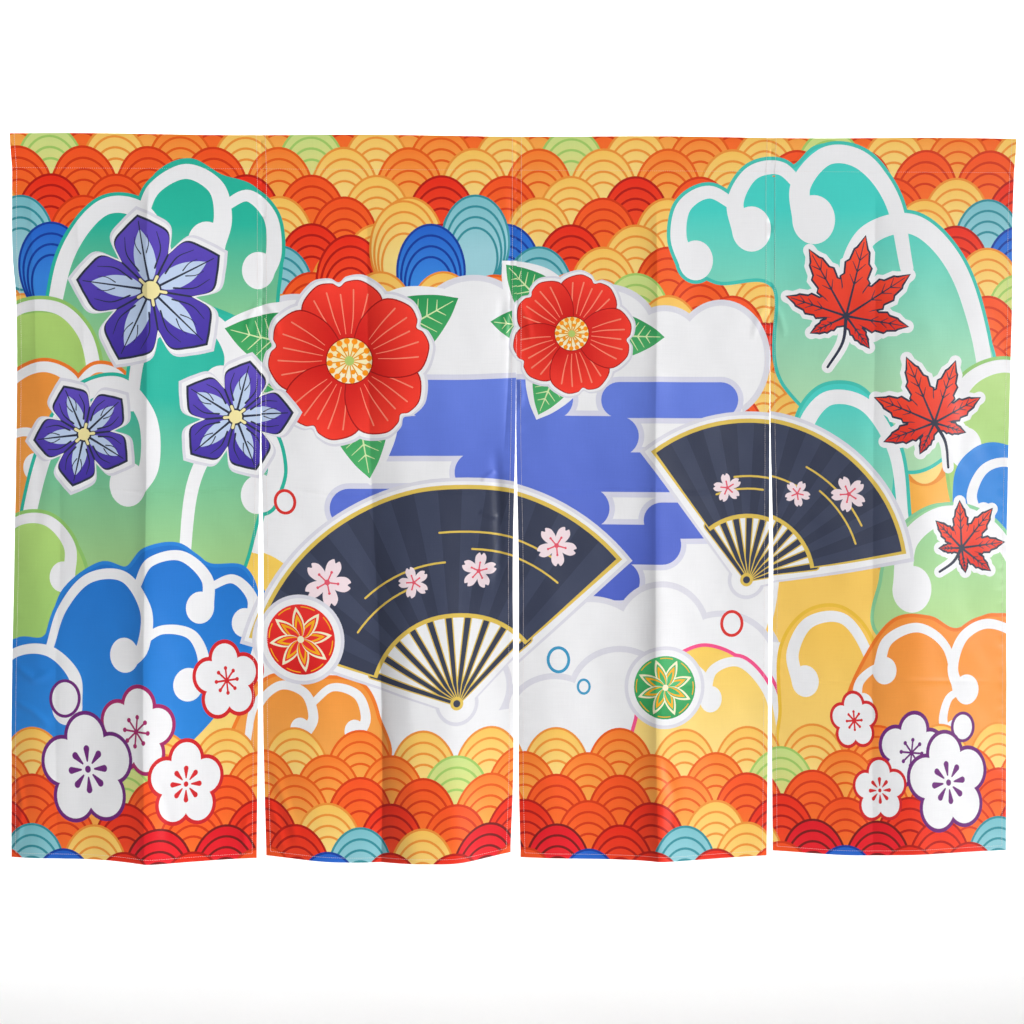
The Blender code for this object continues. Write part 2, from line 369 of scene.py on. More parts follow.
FOOT_WAVES = (
    # drop of the crests, shift as a share of the pitch, the colours that take turns
    (983, 0.25, ("amber", "amber", "orange", "amber")),
    (1024, 0.75, ("orange", "orange", "green", "orange", "orange")),
    (1060, 0.25, ("vermilion", "vermilion", "orange")),
    (1103, 0.75, ("red", "vermilion", "red", "vermilion", "red", "amber")),
    (1142, 0.25, ("red", "teal", "amber", "crimson", "crimson")),
    (1183, 0.75, ("vermilion", "blue", "red", "red")),
)
waves(FOOT_WAVES)


# ---- Printed flowers and leaves ------------------------------------------------------------
# Dyed with the rest, and the builder's own design: camellias, bellflowers and maple leaves,
# each drawn round zero at a size of 1, then turned, sized and put in its place with a pale rim.
STALK_INK = "2f3448"
VEIN_INK = "d6ecb0"
CAMELLIA_DEEP = "a81414"
ANTHER = "ff9a14"
LEAF_RIM = 11  # white line round a maple leaf
CAMELLIA_SIDE = (
    # half of a petal's outline, from the heart to the notch at its tip
    (0.10, -0.10), (0.36, -0.40), (0.72, -0.50), (0.96, -0.30), (0.985, -0.10), (0.93, 0.0),
)
MAPLE_LOBES = (
    # turn from the middle lobe, length
    (-130, 0.50), (-86, 0.80), (-43, 0.97), (0, 1.06), (43, 0.97), (86, 0.80), (130, 0.50),
)
MAPLE_TEETH = (
    # along a lobe, half width there, both as shares of its length
    (0.34, 0.125), (0.46, 0.175), (0.50, 0.135), (0.64, 0.155), (0.68, 0.110), (0.82, 0.085),
    (0.85, 0.055),
)


def turned(points, x, y, turn, size=1.0):
    """A shape drawn round zero, turned anticlockwise, sized and put in its place."""
    c, s = math.cos(math.radians(turn)), math.sin(math.radians(turn))
    return np.asarray(points, float) @ (size * np.array([[c, -s], [s, c]])) + (x, y)


def placer(x, y, size, turn):
    """What puts the parts of a flower in their place, each turned by an angle of its own."""
    def put(points, angle=0):
        return turned(turned(points, 0, 0, angle, size), x, y, turn)

    return put


def mirrored(side):
    """A whole outline from its one side."""
    return np.vstack([side, np.asarray(side)[-2::-1] * (1, -1)])


def pointed(wide, start=0.0, stop=1.0):
    """A leaf shape that comes to a point at both ends."""
    shape = ((0, 0), (0.14, 0.62), (0.34, 1), (0.60, 0.95), (0.84, 0.50), (1, 0))
    side = curve(*[(start + (stop - start) * along, wide * out) for along, out in shape])
    return mirrored(side)[:-1]


def camellia(x, y, size, turn):
    put = placer(x, y, size, turn)
    for angle, long in ((158, 1.62), (22, 1.58), (-88, 1.50), (196, 1.40)):
        leaf = pointed(0.24) * long
        ink(put(leaf * (1.04, 1.32) + (0.03, 0), angle), WHITE)
        ink(put(leaf, angle), "2c9a58", "54b870")
        ink(line(put([(0.45 * long, 0), (0.95 * long, 0)], angle), 4, 1.2), VEIN_INK)
        for along, aside in ((0.62, 0.15), (0.71, 0.115), (0.80, 0.07)):
            for way in (-1, 1):
                tip = ((along + 0.65 * aside) * long, way * aside * long)
                ink(line(put([(along * long, 0), tip], angle), 2.4, 1.0), VEIN_INK)
    petal = curve(*mirrored(CAMELLIA_SIDE), closed=True)
    heart = np.array([0.6, 0.0])
    angles = [90 + 72 * place for place in range(5)]
    # the rims go on whole before the petals
    for wider, colour in ((1.20, PALE), (1.13, WHITE)):
        for angle in angles:
            ink(put((petal - heart) * wider + heart, angle), colour)
    for angle in angles:
        ink(put((petal - heart) * 1.032 + heart, angle), CAMELLIA_DEEP)
        start, stop = put([(0.25, 0), (0.95, 0)], angle)
        ink(put(petal, angle), "d81e1a", "ff4030", start, stop)
        for side, reach in ((-0.34, 0.80), (-0.17, 0.88), (0.0, 0.84), (0.17, 0.88), (0.34, 0.80)):
            vein = curve((0.34, 0.40 * side), (0.56, 0.72 * side), (reach, side))
            ink(line(put(vein, angle), 1.2, 2.6), "ff8a70")
    ink(oval(x, y, 0.30 * size), CAMELLIA_DEEP)
    ink(oval(x, y, 0.285 * size), "ffe9a0", "fff6d6")
    for place in range(16):
        thread = put([(0.06, 0), (0.25, 0)], 22.5 * place)
        ink(line(thread, 2.0), "e8a020")
        ink(oval(*thread[1], 0.038 * size), ANTHER)
    for place in range(8):
        ink(oval(*put([(0.15, 0)], 45 * place + 10)[0], 0.030 * size), ANTHER)
    ink(oval(x, y, 0.06 * size), "b8d070")


def bellflower(x, y, size, turn):
    put = placer(x, y, size, turn)
    dent = turned([(0.52, 0)], 0, 0, 36)[0]
    petal = mirrored(curve(dent, (0.70, -0.36), (0.87, -0.19), (1, 0)))
    angles = [90 - 72 * place for place in range(5)]
    # rims, widest first, in millimetres
    for wider, colour in ((19, PALE), (13, WHITE), (4.5, STALK_INK)):
        rim = np.vstack([put(petal * (1 + wider / size), angle) for angle in angles])
        ink(rim, colour)
    ink(np.vstack([put(petal, angle) for angle in angles]), "6450c0", "4634a4")
    for angle in angles:
        ink(put(pointed(0.14, 0.08, 0.84), angle), "c2d4f0")
        ink(line(put([(0.1, 0), (0.94, 0)], angle), 4.0, 1.6), STALK_INK)
        for way in (-1, 1):
            vein = curve((0.28, 0.11 * way), (0.52, 0.23 * way), (0.76, 0.22 * way))
            ink(line(put(vein, angle), 3.0, 1.0), STALK_INK)
            vein = curve((0.50, 0.04 * way), (0.62, 0.09 * way), (0.74, 0.09 * way))
            ink(line(put(vein, angle), 2.0, 0.9), STALK_INK)
        ink(line(put([(0.14, 0), (0.53, 0)], angle + 36), 3.6, 3.0), STALK_INK)
    for rim, colour in ((3, STALK_INK), (0, "f6e9a8")):
        ink(oval(x, y, 0.12 * size + rim), colour)
        for angle in angles:
            ink(line(put([(0.02, 0), (0.20, 0)], angle + 36), 3.4 + rim, 5.0 + rim), colour)


def maple(x, y, size, turn):
    put = placer(x, y, size, turn)
    leaf = [np.array([(0.0, 0.12)])]
    for angle, long in MAPLE_LOBES:
        side = np.array([*MAPLE_TEETH, (1, 0)]) * long
        leaf.append(turned(mirrored(side), 0, 0, 90 + angle))
    leaf = np.vstack(leaf)
    way = np.roll(leaf, -1, 0) - np.roll(leaf, 1, 0)
    way /= np.hypot(*way.T)[:, None]
    area = np.sum(leaf[:, 0] * np.roll(leaf[:, 1], -1) - np.roll(leaf[:, 0], -1) * leaf[:, 1])
    outward = sideways(way) * np.sign(area) / size
    stalk = put(curve((0, 0), (0.04, 0.34), (-0.07, 0.70)))
    ink(line(stalk, 24, 20), WHITE)
    ink(put(leaf + LEAF_RIM * outward), WHITE)
    for angle, long in MAPLE_LOBES:
        ink(line(put([(0, 0), (long, 0)], 90 + angle), 0.30 * long * size + 18, 22), WHITE)
    ink(put(leaf + 3.4 * outward), STALK_INK)
    ink(put(leaf), "ff5232", "e42a1c")
    for angle, long in MAPLE_LOBES:
        ink(line(put([(0, 0), (0.93 * long, 0)], 90 + angle), 4.4, 1.2), STALK_INK)
        for along in (0.40, 0.56, 0.70):
            for side in (-0.08, 0.08):
                vein = [(along * long, 0), ((along + 0.11) * long, side * long)]
                ink(line(put(vein, 90 + angle), 2.2, 0.9), STALK_INK)
    ink(line(stalk, 6, 4), STALK_INK)


FLOWERS = (
    # which, across, drop, size, turn
    (camellia, 560, 375, 132, 8),
    (camellia, 930, 330, 98, -24),
    (bellflower, 232, 262, 124, 10),
    (bellflower, 372, 470, 92, -14),
    (bellflower, 118, 500, 84, 24),
    (maple, 1390, 300, 130, -14),
    (maple, 1540, 480, 112, 24),
    (maple, 1590, 690, 80, -40),
)
for flower, *place in FLOWERS:
    flower(*place)


# ---- Printed fans, balls and plum blossom --------------------------------------------------
# Also dyed in, over the rest: two dark folding fans edged in gold, two thread balls, a few
# rings, and plum blossom in the two lower corners.
GOLD = "e4c45a"
FAN_DARK = "3a4055"
FAN_LIGHT = "424960"
FAN_PLEATS = 9
FAN_INNER = 0.42  # where the leaf begins, as a share of the fan's reach
FAN_HALO = 13
FAN_EDGE = 7  # width of the gold line round the leaf
CHERRY_INK = "e8586c"
BALL_CREAM = "fbf3d0"
BALL_GOLD = "ffb420"
RING_BLUE = "3c9cc8"
RING_RED = "e03430"
FAN_STREAKS = (
    # from and to, as shares of half the spread, and how far out, as a share of the reach
    (-0.72, -0.20, 0.58), (-0.50, 0.12, 0.66), (0.10, 0.74, 0.80), (0.30, 0.86, 0.72),
)
BALL_THREADS = (
    # length, width, its colour or none for the ball's own
    (0.93, 0.168, BALL_CREAM),
    (0.80, 0.132, None),
    (0.72, 0.108, BALL_GOLD),
    (0.56, 0.068, None),
)


def blossom(x, y, size, turn):
    """A small cherry blossom, its petals notched."""
    side = [(0.05, 0.0), (0.34, 0.25), (0.76, 0.31), (1.0, 0.13), (0.87, 0.0)]
    petal = curve(*mirrored(side)[:-1], closed=True)
    for place in range(5):
        ink(turned(petal, x, y, turn + 90 + 72 * place, size), "f7e3e8")
    for place in range(5):
        angle = turn + 90 + 72 * place
        thread = turned([(0.08, 0), (0.46, 0)], x, y, angle, size)
        ink(line(thread, 2.4), CHERRY_INK)
        ink(oval(*thread[1], 0.06 * size), CHERRY_INK)
    ink(oval(x, y, 0.12 * size), CHERRY_INK)


def fan(x, y, reach, half, turn, blossoms):
    """A folding fan round its rivet: its reach in millimetres, half of its spread and its turn
    in degrees, and its blossoms (angle, share of the reach, size)."""
    def put(points):
        return turned(points, x, y, turn)

    def leaf(low, high, start, stop):
        outer = arc(0, 0, high, high, 90 - start, 90 - stop)
        return np.vstack([outer, arc(0, 0, low, low, 90 - stop, 90 - start)])

    inner = FAN_INNER * reach
    for halo, colour in ((FAN_HALO + 6, PALE), (FAN_HALO, WHITE)):
        spread = half + math.degrees(halo / reach)
        outer = arc(0, 0, reach + halo, reach + halo, 90 - spread, 90 + spread)
        foot = 0.05 * reach + halo
        ink(put(np.vstack([outer, arc(0, 0, foot, foot, 180, 360)])), colour)
    # the ribs widen outwards
    for place in range(FAN_PLEATS + 1):
        rib = turned([(0, 0), (1.02 * inner, 0)], 0, 0, 90 - half + 2 * half * place / FAN_PLEATS)
        ink(put(line(rib, 8, 15)), GOLD)
        ink(put(line(rib, 4.5, 10.5)), FAN_DARK)
    # the rivet
    ink(put(oval(0, 0, 11)), GOLD)
    ink(put(oval(0, 0, 6)), FAN_DARK)
    side_edge = 1.1  # the gold line at the fan's two sides, in degrees
    gold_leaf = leaf(inner - FAN_EDGE, reach + FAN_EDGE, -half - side_edge, half + side_edge)
    ink(put(gold_leaf), GOLD)
    ink(put(leaf(inner, reach, -half, half)), FAN_DARK)
    pleat = half / FAN_PLEATS
    for place in range(FAN_PLEATS):
        start = -half + 2 * pleat * place
        ink(put(leaf(inner, reach, start + pleat, start + 2 * pleat)), FAN_LIGHT)
    for start, stop, out in FAN_STREAKS:
        streak = arc(0, 0, out * reach, out * reach, 90 - half * start, 90 - half * stop)
        ink(put(line(streak, 3.4)), GOLD)
    for angle, out, size in blossoms:
        spot = put(turned([(out * reach, 0)], 0, 0, 90 - angle))[0]
        blossom(*spot, size, turn - angle)


def thread_ball(x, y, size, turn, base, deep):
    ink(oval(x, y, size + 16), PALE)
    ink(oval(x, y, size + 10), WHITE)
    ink(oval(x, y, size), base, deep)
    for place in range(8):
        angle = turn + 45 * place
        for long, wide, colour in BALL_THREADS:
            ink(turned(pointed(wide, 0, long), x, y, angle, size), colour or base)
    for place in range(8):
        start = turn + 45 * place + 10
        ink(line(arc(x, y, 0.93 * size, 0.93 * size, start, start + 25), 0.03 * size), BALL_GOLD)
    ink(oval(x, y, 0.10 * size), BALL_CREAM)


def ring(x, y, size, edge, wide):
    ink(oval(x, y, size, 1.12 * size), edge)
    ink(oval(x, y, size - wide, 1.12 * size - wide), WHITE)


def plum(x, y, size, edge, turn, beaded):
    """Five round petals, one up, a little taller than wide. The middle is of beaded threads or
    of drops."""
    def put(points):
        return turned(np.asarray(points) * (1, 1.2), x, y, turn)

    petals = [turned([(0.58 * size, 0)], 0, 0, 90 + 72 * place)[0] for place in range(5)]
    rim = 4.5 if size < 50 else 5.5
    for petal in petals:
        ink(put(oval(*petal, 0.405 * size + rim)), edge)
    for petal in petals:
        ink(put(oval(*petal, 0.405 * size)), WHITE)
    ink(put(oval(0, 0, 0.45 * size)), WHITE)
    for place in range(8):
        angle = 90 + 45 * place
        if beaded:
            thread = turned([(0, 0), (0.33, 0)], 0, 0, angle, size)
            ink(put(line(thread, 2.8)), edge)
            ink(put(oval(*thread[1], 0.055 * size)), edge)
        else:
            drop = line(turned([(0.15, 0), (0.37, 0)], 0, 0, angle, size), 0.035 * size, 0.13 * size)
            ink(put(drop), edge)
    ink(put(oval(0, 0, 0.065 * size)), edge)


def bud(x, y, size, edge):
    ink(oval(x, y, size + 5, 1.22 * size + 5), edge)
    ink(oval(x, y, size, 1.22 * size), WHITE)


fan(1225, 740, 262, 58, -22, ((28, 0.84, 30), (-34, 0.60, 24), (8, 0.62, 22)))
fan(742, 940, 352, 60, 12, ((-36, 0.84, 40), (22, 0.62, 30), (44, 0.86, 34), (-8, 0.60, 26)))
thread_ball(478, 838, 58, 10, "f23430", "de2020")
thread_ball(1085, 915, 52, 20, "48b86e", "34a05a")
ring(905, 872, 20, RING_BLUE, 5)
ring(948, 916, 12, RING_BLUE, 4)
ring(1200, 812, 20, RING_RED, 5)
ring(452, 612, 19, RING_RED, 5)
PLUM_RED = "d8262c"
PLUM_PURPLE = "70287a"
PLUM_PINK = "a82a68"
plum(362, 905, 52, PLUM_RED, 6, True)
bud(93, 936, 22, PLUM_PURPLE)
plum(216, 985, 60, PLUM_PINK, -4, True)
plum(133, 1052, 76, PLUM_PURPLE, 5, False)
plum(297, 1072, 58, PLUM_RED, 0, False)
plum(1403, 976, 38, PLUM_RED, 4, True)
bud(1592, 990, 17, PLUM_PURPLE)
plum(1500, 1030, 54, PLUM_PURPLE, -6, True)
plum(1566, 1082, 70, PLUM_PURPLE, 8, False)
plum(1446, 1092, 43, PLUM_RED, 2, False)


# ---- Cloth panels --------------------------------------------------------------------------
# Four lengths of thin printed polyester, each hemmed down both sides and along the foot. Their
# tops are sewn edge to edge for 27 cm, then turned over to the back and stitched down as one
# rod pocket. They hang in the folds that they were packed in.
DROP = 1.200  # top fold to the foot
POCKET = 0.057  # top fold to the line of stitches that closes the rod pocket
TURN_IN = 0.009  # the pocket's raw edge, turned in below that line
CLOTH = 0.0003  # its thickness
HEM = 0.010  # width of the hems, folded to the back
HEM_THICK = 0.00055  # the hem's two further layers
HALF_WIDTH = 0.8375  # half of the curtain's width as it hangs
POCKET_FRONT = 0.0030  # how far the pocket's two layers stand apart, to the front and the back
POCKET_BACK = 0.0085
POCKET_FLARE = 0.0035  # how much further out the pocket's top corners reach than its foot
POCKET_WAVE = 0.0010  # rise and fall of the top fold
POCKET_WAVES = 3.5  # from end to end
# each panel's hemmed width, and where its left edge lies on the printed cloth
FLAT_WIDTHS = {"panel_1": 0.414, "panel_2": 0.424, "panel_3": 0.425, "panel_4": 0.410}
FLAT_STARTS = {"panel_1": 0.0, "panel_2": 0.414, "panel_3": 0.838, "panel_4": 1.263}

# Each panel's two edges as it hangs: (drop, left, right)
EDGES = {
    "panel_1": (
        (0.057, -0.8365, -0.42402), (0.200, -0.8356, -0.42402), (0.270, -0.8300, -0.42402),
        (0.500, -0.8294, -0.4251), (0.710, -0.8327, -0.4272), (0.950, -0.8372, -0.4277),
        (1.190, -0.8373, -0.4298),
    ),
    "panel_2": (
        (0.057, -0.42398, -0.00002), (0.270, -0.42398, -0.00002), (0.500, -0.4237, -0.0026),
        (0.710, -0.4187, -0.0072), (0.950, -0.4197, -0.0060), (1.080, -0.4172, -0.0068),
        (1.190, -0.4142, -0.0110),
    ),
    "panel_3": (
        (0.057, 0.00002, 0.42498), (0.270, 0.00002, 0.42498), (0.500, -0.0012, 0.4222),
        (0.710, 0.0024, 0.4198), (0.950, 0.0026, 0.4186), (1.080, 0.0028, 0.4174),
        (1.190, 0.0055, 0.4158),
    ),
    "panel_4": (
        (0.057, 0.42502, 0.8365), (0.150, 0.42502, 0.8335), (0.270, 0.42502, 0.8332),
        (0.500, 0.4242, 0.8274), (0.710, 0.4272, 0.8235), (0.950, 0.4248, 0.8235),
        (1.190, 0.4262, 0.8224),
    ),
}

# The folds down each panel, from its left edge to its right: (place under the pocket, place at
# the foot, how far it stands out, how softly the cloth bends). The places are shares of the
# width, the third is a share of the panel's depth, and the last is in metres.
FOLDS = {
    "panel_1": (
        (0.10, 0.11, 0.34, 0.020), (0.30, 0.32, 0.52, 0.020), (0.55, 0.575, 1.00, 0.012),
        (0.76, 0.75, 0.52, 0.018),
    ),
    "panel_2": (
        (0.20, 0.23, 0.58, 0.022), (0.41, 0.475, 0.62, 0.012), (0.52, 0.61, 1.00, 0.012),
        (0.68, 0.77, 0.94, 0.016),
    ),
    "panel_3": (
        (0.12, 0.12, 0.40, 0.018), (0.34, 0.34, 0.52, 0.022), (0.48, 0.49, 0.74, 0.020),
        (0.55, 0.56, 1.00, 0.006), (0.64, 0.65, 0.80, 0.020), (0.76, 0.76, 0.52, 0.018),
    ),
    "panel_4": (
        (0.15, 0.14, 0.30, 0.020), (0.38, 0.34, 0.70, 0.022), (0.62, 0.60, 1.00, 0.024),
        (0.82, 0.81, 0.46, 0.022),
    ),
}

# How far each panel's deepest fold stands out on the way down: (drop, depth)
DEPTHS = {
    "panel_1": ((0.057, 0.0), (0.15, 0.012), (0.30, 0.024), (0.60, 0.034), (1.20, 0.043)),
    "panel_2": ((0.057, 0.0), (0.30, 0.008), (0.60, 0.022), (0.80, 0.036), (1.20, 0.054)),
    "panel_3": ((0.057, 0.0), (0.30, 0.006), (0.60, 0.018), (0.80, 0.028), (1.20, 0.042)),
    "panel_4": ((0.057, 0.0), (0.30, 0.012), (0.60, 0.026), (0.80, 0.030), (1.20, 0.034)),
}

# How far each panel's left and right edges come forward where they hang free, at the foot
EDGE_LIFTS = {
    "panel_1": (0.0, 0.020),
    "panel_2": (0.020, 0.024),
    "panel_3": (0.024, 0.014),
    "panel_4": (0.014, 0.0),
}
JOINED = 0.270  # the drop that the panels' edges are joined to
LIFT_FULL = 0.75  # the drop at which the free edges stand fully forward

# How far the foot falls short of the drop, or past it (negative): (share of the width, short)
FEET = {
    "panel_1": ((0.0, 0.0012), (0.4, 0.001), (0.575, -0.0035), (0.7, -0.0028), (1.0, 0.0018)),
    "panel_2": ((0.0, 0.0060), (0.3, -0.0036), (0.63, -0.0035), (0.8, -0.0026), (1.0, 0.0103)),
    "panel_3": ((0.0, 0.0018), (0.3, -0.0014), (0.65, -0.0036), (0.85, -0.0016), (1.0, 0.0006)),
    "panel_4": ((0.0, 0.0086), (0.3, 0.0020), (0.63, 0.0034), (0.85, 0.0045), (1.0, 0.0045)),
}

# The sharp creases that packing pressed in, top to foot, in millimetres on the flat cloth: the
# line as (drop, across from the panel's left edge), the height towards the viewer, and how far
# the crease takes to die away on its left and on its right
PRESSED = {
    "panel_1": (
        (((62, 228), (300, 226), (600, 228), (930, 228), (1290, 233)), 5.6, 17, 60),
        (((500, 74), (700, 80), (900, 76), (1290, 84)), -1.6, 34, 12),
        (((62, 30), (200, 34), (330, 33), (430, 36)), 1.3, 9, 26),
        (((90, 108), (200, 112), (330, 116), (460, 112)), 1.0, 9, 30),
    ),
    "panel_2": (
        (((120, 175), (280, 175), (600, 184), (930, 200), (1290, 199)), -5.0, 50, 20),
        (((840, 196), (930, 200), (1290, 199)), -2.0, 20, 10),
        (((58, 414), (250, 413), (400, 411), (540, 405)), -1.5, 5, 6),
    ),
    "panel_3": (
        (((100, 233), (280, 234), (600, 232), (930, 231), (1290, 236)), 4.5, 14, 60),
    ),
    "panel_4": (
        (((80, 177), (300, 176), (600, 172), (900, 170), (1290, 172)), -2.6, 44, 16),
    ),
}
PRESSED_SHARP = 0.9  # how round the crease's own line is, in millimetres
PRESSED_FADE = 70  # how far it takes to come in at its start, and to go out at its end

# The softer creases, also in millimetres on the flat cloth: the points that one runs through
# as (across from the panel's left edge, drop), its height towards the viewer, its half width
CREASES = {
    "panel_1": (
        (((2, 880), (40, 905), (78, 890)), 1.7, 7),
        (((4, 940), (36, 955), (72, 985)), 1.5, 6),
        (((6, 1041), (20, 1110), (10, 1190)), 1.6, 6),
        (((400, 1125), (392, 1160), (398, 1196)), 1.6, 6),
        (((6, 598), (120, 590), (260, 596), (406, 586)), -1.1, 2.8),
        (((412, 274), (396, 300), (388, 340)), 1.3, 6),
        (((20, 470), (44, 560), (34, 680)), -1.2, 12),
        (((246, 1050), (270, 1120), (262, 1180)), -1.2, 10),
    ),
    "panel_2": (
        (((388, 507), (397, 600), (402, 700), (392, 774)), -3.0, 9),
        (((394, 560), (366, 578)), 1.5, 5),
        (((400, 640), (364, 626)), 1.5, 5),
        (((402, 716), (376, 742)), 1.2, 5),
        (((10, 1041), (36, 1110), (60, 1187)), 1.6, 8),
        (((6, 1100), (22, 1150), (34, 1196)), 1.3, 6),
        (((6, 589), (130, 600), (280, 591), (418, 598)), -1.2, 2.8),
        (((2, 274), (20, 300), (30, 344)), 1.3, 6),
        (((422, 274), (408, 304), (402, 350)), 1.4, 6),
        (((404, 262), (396, 300), (404, 352)), -1.2, 7),
    ),
    "panel_3": (
        (((5, 398), (9, 430), (6, 462)), 1.8, 5),
        (((6, 598), (150, 589), (300, 595), (419, 588)), -1.0, 2.8),
        (((18, 917), (200, 910), (402, 915)), 0.8, 3.6),
        (((2, 274), (18, 306), (24, 350)), 1.3, 6),
        (((423, 274), (404, 302), (396, 342)), 1.2, 6),
        (((236, 1010), (262, 1090), (254, 1170)), -1.4, 10),
    ),
    "panel_4": (
        (((8, 914), (200, 908), (396, 916)), 0.8, 3.6),
        (((2, 274), (16, 302), (26, 340)), 1.2, 6),
        (((60, 640), (140, 660), (210, 640)), 0.9, 14),
        (((300, 380), (330, 470), (318, 560)), -1.0, 16),
    ),
}

# The slight unevenness of cloth that hangs: (waves a metre across, and down, height in mm)
UNEVEN = (
    (7.3, 1.7, 0.34), (-5.1, 6.3, 0.26), (11.9, -3.1, 0.20), (3.7, 13.3, 0.14),
    (15.1, 9.7, 0.10), (22.3, -8.9, 0.07), (-17.9, 20.7, 0.05),
)
UNEVEN_OVER = 0.20  # how far below the pocket it takes to come in
SEAM_DIP = 0.9  # how far in mm the joined edges turn in at the seams between the panels
SEAM_HALF = 0.0022  # half width of that dip
SEAM_END = 0.28  # the drop from which the seam's dip gives way to the hem's puckers
SEAM_FADE = 0.06  # and how far down that takes
PUCKER = 0.28  # height in mm of the ripples that the hem stitches draw up
PUCKERS = 43  # of them to a metre
PUCKER_DRIFT = (2.5, 19, 7)  # how far they stray from even steps, and how often down and across
PUCKER_HALF = 0.007  # half width of the strip that they run along


def eased(share):
    """From 0 to 1, slowly at both ends."""
    share = np.clip(share, 0, 1)
    return share**2 * (3 - 2 * share)


def smoothly(table, at, column=1):
    """The table's column at a place, its first column, on a smooth line through its rows."""
    rows = np.array(table)
    x, y = rows[:, 0], rows[:, column]
    secant = np.diff(y) / np.diff(x)
    slope = np.concatenate([secant[:1], (secant[1:] + secant[:-1]) / 2, secant[-1:]])
    at = np.clip(at, x[0], x[-1])
    low = np.clip(np.searchsorted(x, at, side="right") - 1, 0, len(x) - 2)
    step = x[low + 1] - x[low]
    t = (at - x[low]) / step
    return (
        y[low] * (1 + 2 * t) * (1 - t) ** 2
        + y[low + 1] * t**2 * (3 - 2 * t)
        + step * t * (1 - t) * (slope[low] * (1 - t) - slope[low + 1] * t)
    )


def rise(folds, down, width, at):
    """How far the cloth stands out: straight flanks between the folds, with a soft bend at
    each."""
    folds = np.array([(0, 0, 0, 0), *folds, (1, 1, 0, 0)])
    stops = folds[:, 0, None] + down * (folds[:, 1] - folds[:, 0])[:, None]
    slopes = np.diff(folds[:, 2])[:, None] / np.diff(stops, axis=0)
    total = (slopes[0] + slopes[-1]) / 2 * at
    for stop, bend, turn in zip(stops[1:-1], folds[1:-1, 3], np.diff(slopes, axis=0)):
        soft = bend / width
        total += turn / 2 * (np.hypot(at - stop, soft) - np.hypot(stop, soft))
    return total


def relief(name, across, drop):
    """How far the small creases, the unevenness and the hems' puckers stand towards the
    viewer."""
    spots = np.stack([across, drop], 1) * 1000
    total = np.zeros(len(spots))
    for line_down, height, left, right in PRESSED[name]:
        aside = spots[:, 0] - smoothly(line_down, spots[:, 1])
        inside_ends = np.minimum(spots[:, 1] - line_down[0][0], line_down[-1][0] - spots[:, 1])
        ends = eased(inside_ends / PRESSED_FADE)
        away = np.hypot(aside, PRESSED_SHARP) - PRESSED_SHARP
        form = np.exp(-away / np.where(aside < 0, left, right))
        total += height * ends * form
    for path, height, half in CREASES[name]:
        path = np.array(path, float)
        steps = np.hypot(*np.diff(path, axis=0).T)
        done = np.concatenate([[0], np.cumsum(steps)])
        nearest = np.full(len(spots), 1e9)
        share = np.zeros(len(spots))
        for start, stop, before, step in zip(path, path[1:], done, steps):
            t = np.clip((spots - start) @ (stop - start) / step**2, 0, 1)
            away = np.hypot(*(spots - start - t[:, None] * (stop - start)).T)
            closer = away < nearest
            nearest[closer] = away[closer]
            share[closer] = ((before + t * step) / done[-1])[closer]
        ends = eased(4 * np.minimum(share, 1 - share))
        total += height * ends * np.exp(-((nearest / half) ** 2))
    below = np.clip((drop - POCKET) / UNEVEN_OVER, 0, 1) ** 2
    place = across + FLAT_STARTS[name]
    for many_across, many_down, height in UNEVEN:
        total += below * height * np.sin(2 * np.pi * (many_across * place + many_down * drop))
    apart = np.clip((drop - SEAM_END) / SEAM_FADE, 0, 1)
    # the curtain's two outer edges have no seam, so they count as far away
    from_left, from_right = across, FLAT_WIDTHS[name] - across
    from_seam = np.minimum(from_left + (name == "panel_1"), from_right + (name == "panel_4"))
    total -= (1 - apart) * SEAM_DIP * np.exp(-((from_seam / SEAM_HALF) ** 2))
    stray, often_down, often_across = PUCKER_DRIFT
    drift = stray * np.sin(often_down * drop + often_across * place)
    ripple = np.sin(2 * np.pi * PUCKERS * drop + drift)
    from_stitches = np.minimum(from_left, from_right) - 0.8 * HEM
    total += apart * PUCKER * ripple * np.exp(-((from_stitches / PUCKER_HALF) ** 2))
    return total / 1000


# The pocket's cross-section: along the cloth from the stitches up the front, over the fold,
# and down the back to the stitches
POCKET_STEPS = 400  # from the stitches to the fold
POCKET_LAP = 2.5 * CLOTH  # how far the turned-over cloth lies behind the front at the stitches
BOW_FULL = 2.598  # brings the bow's widest place to 1
pocket_turn = np.linspace(-1, 1, 2 * POCKET_STEPS + 1)
pocket_bow = np.where(pocket_turn < 0, POCKET_FRONT, POCKET_BACK)
pocket_out = BOW_FULL * pocket_turn * (1 - pocket_turn**2) * pocket_bow
pocket_out += np.clip(pocket_turn, 0, 1) ** 2 * POCKET_LAP
pocket_down = POCKET * pocket_turn**2
pocket_along = np.cumsum(np.hypot(np.gradient(pocket_out), np.gradient(pocket_down)))
pocket_along -= pocket_along[POCKET_STEPS]
pocket_along *= np.where(pocket_turn < 0, POCKET / -pocket_along[0], POCKET / pocket_along[-1])


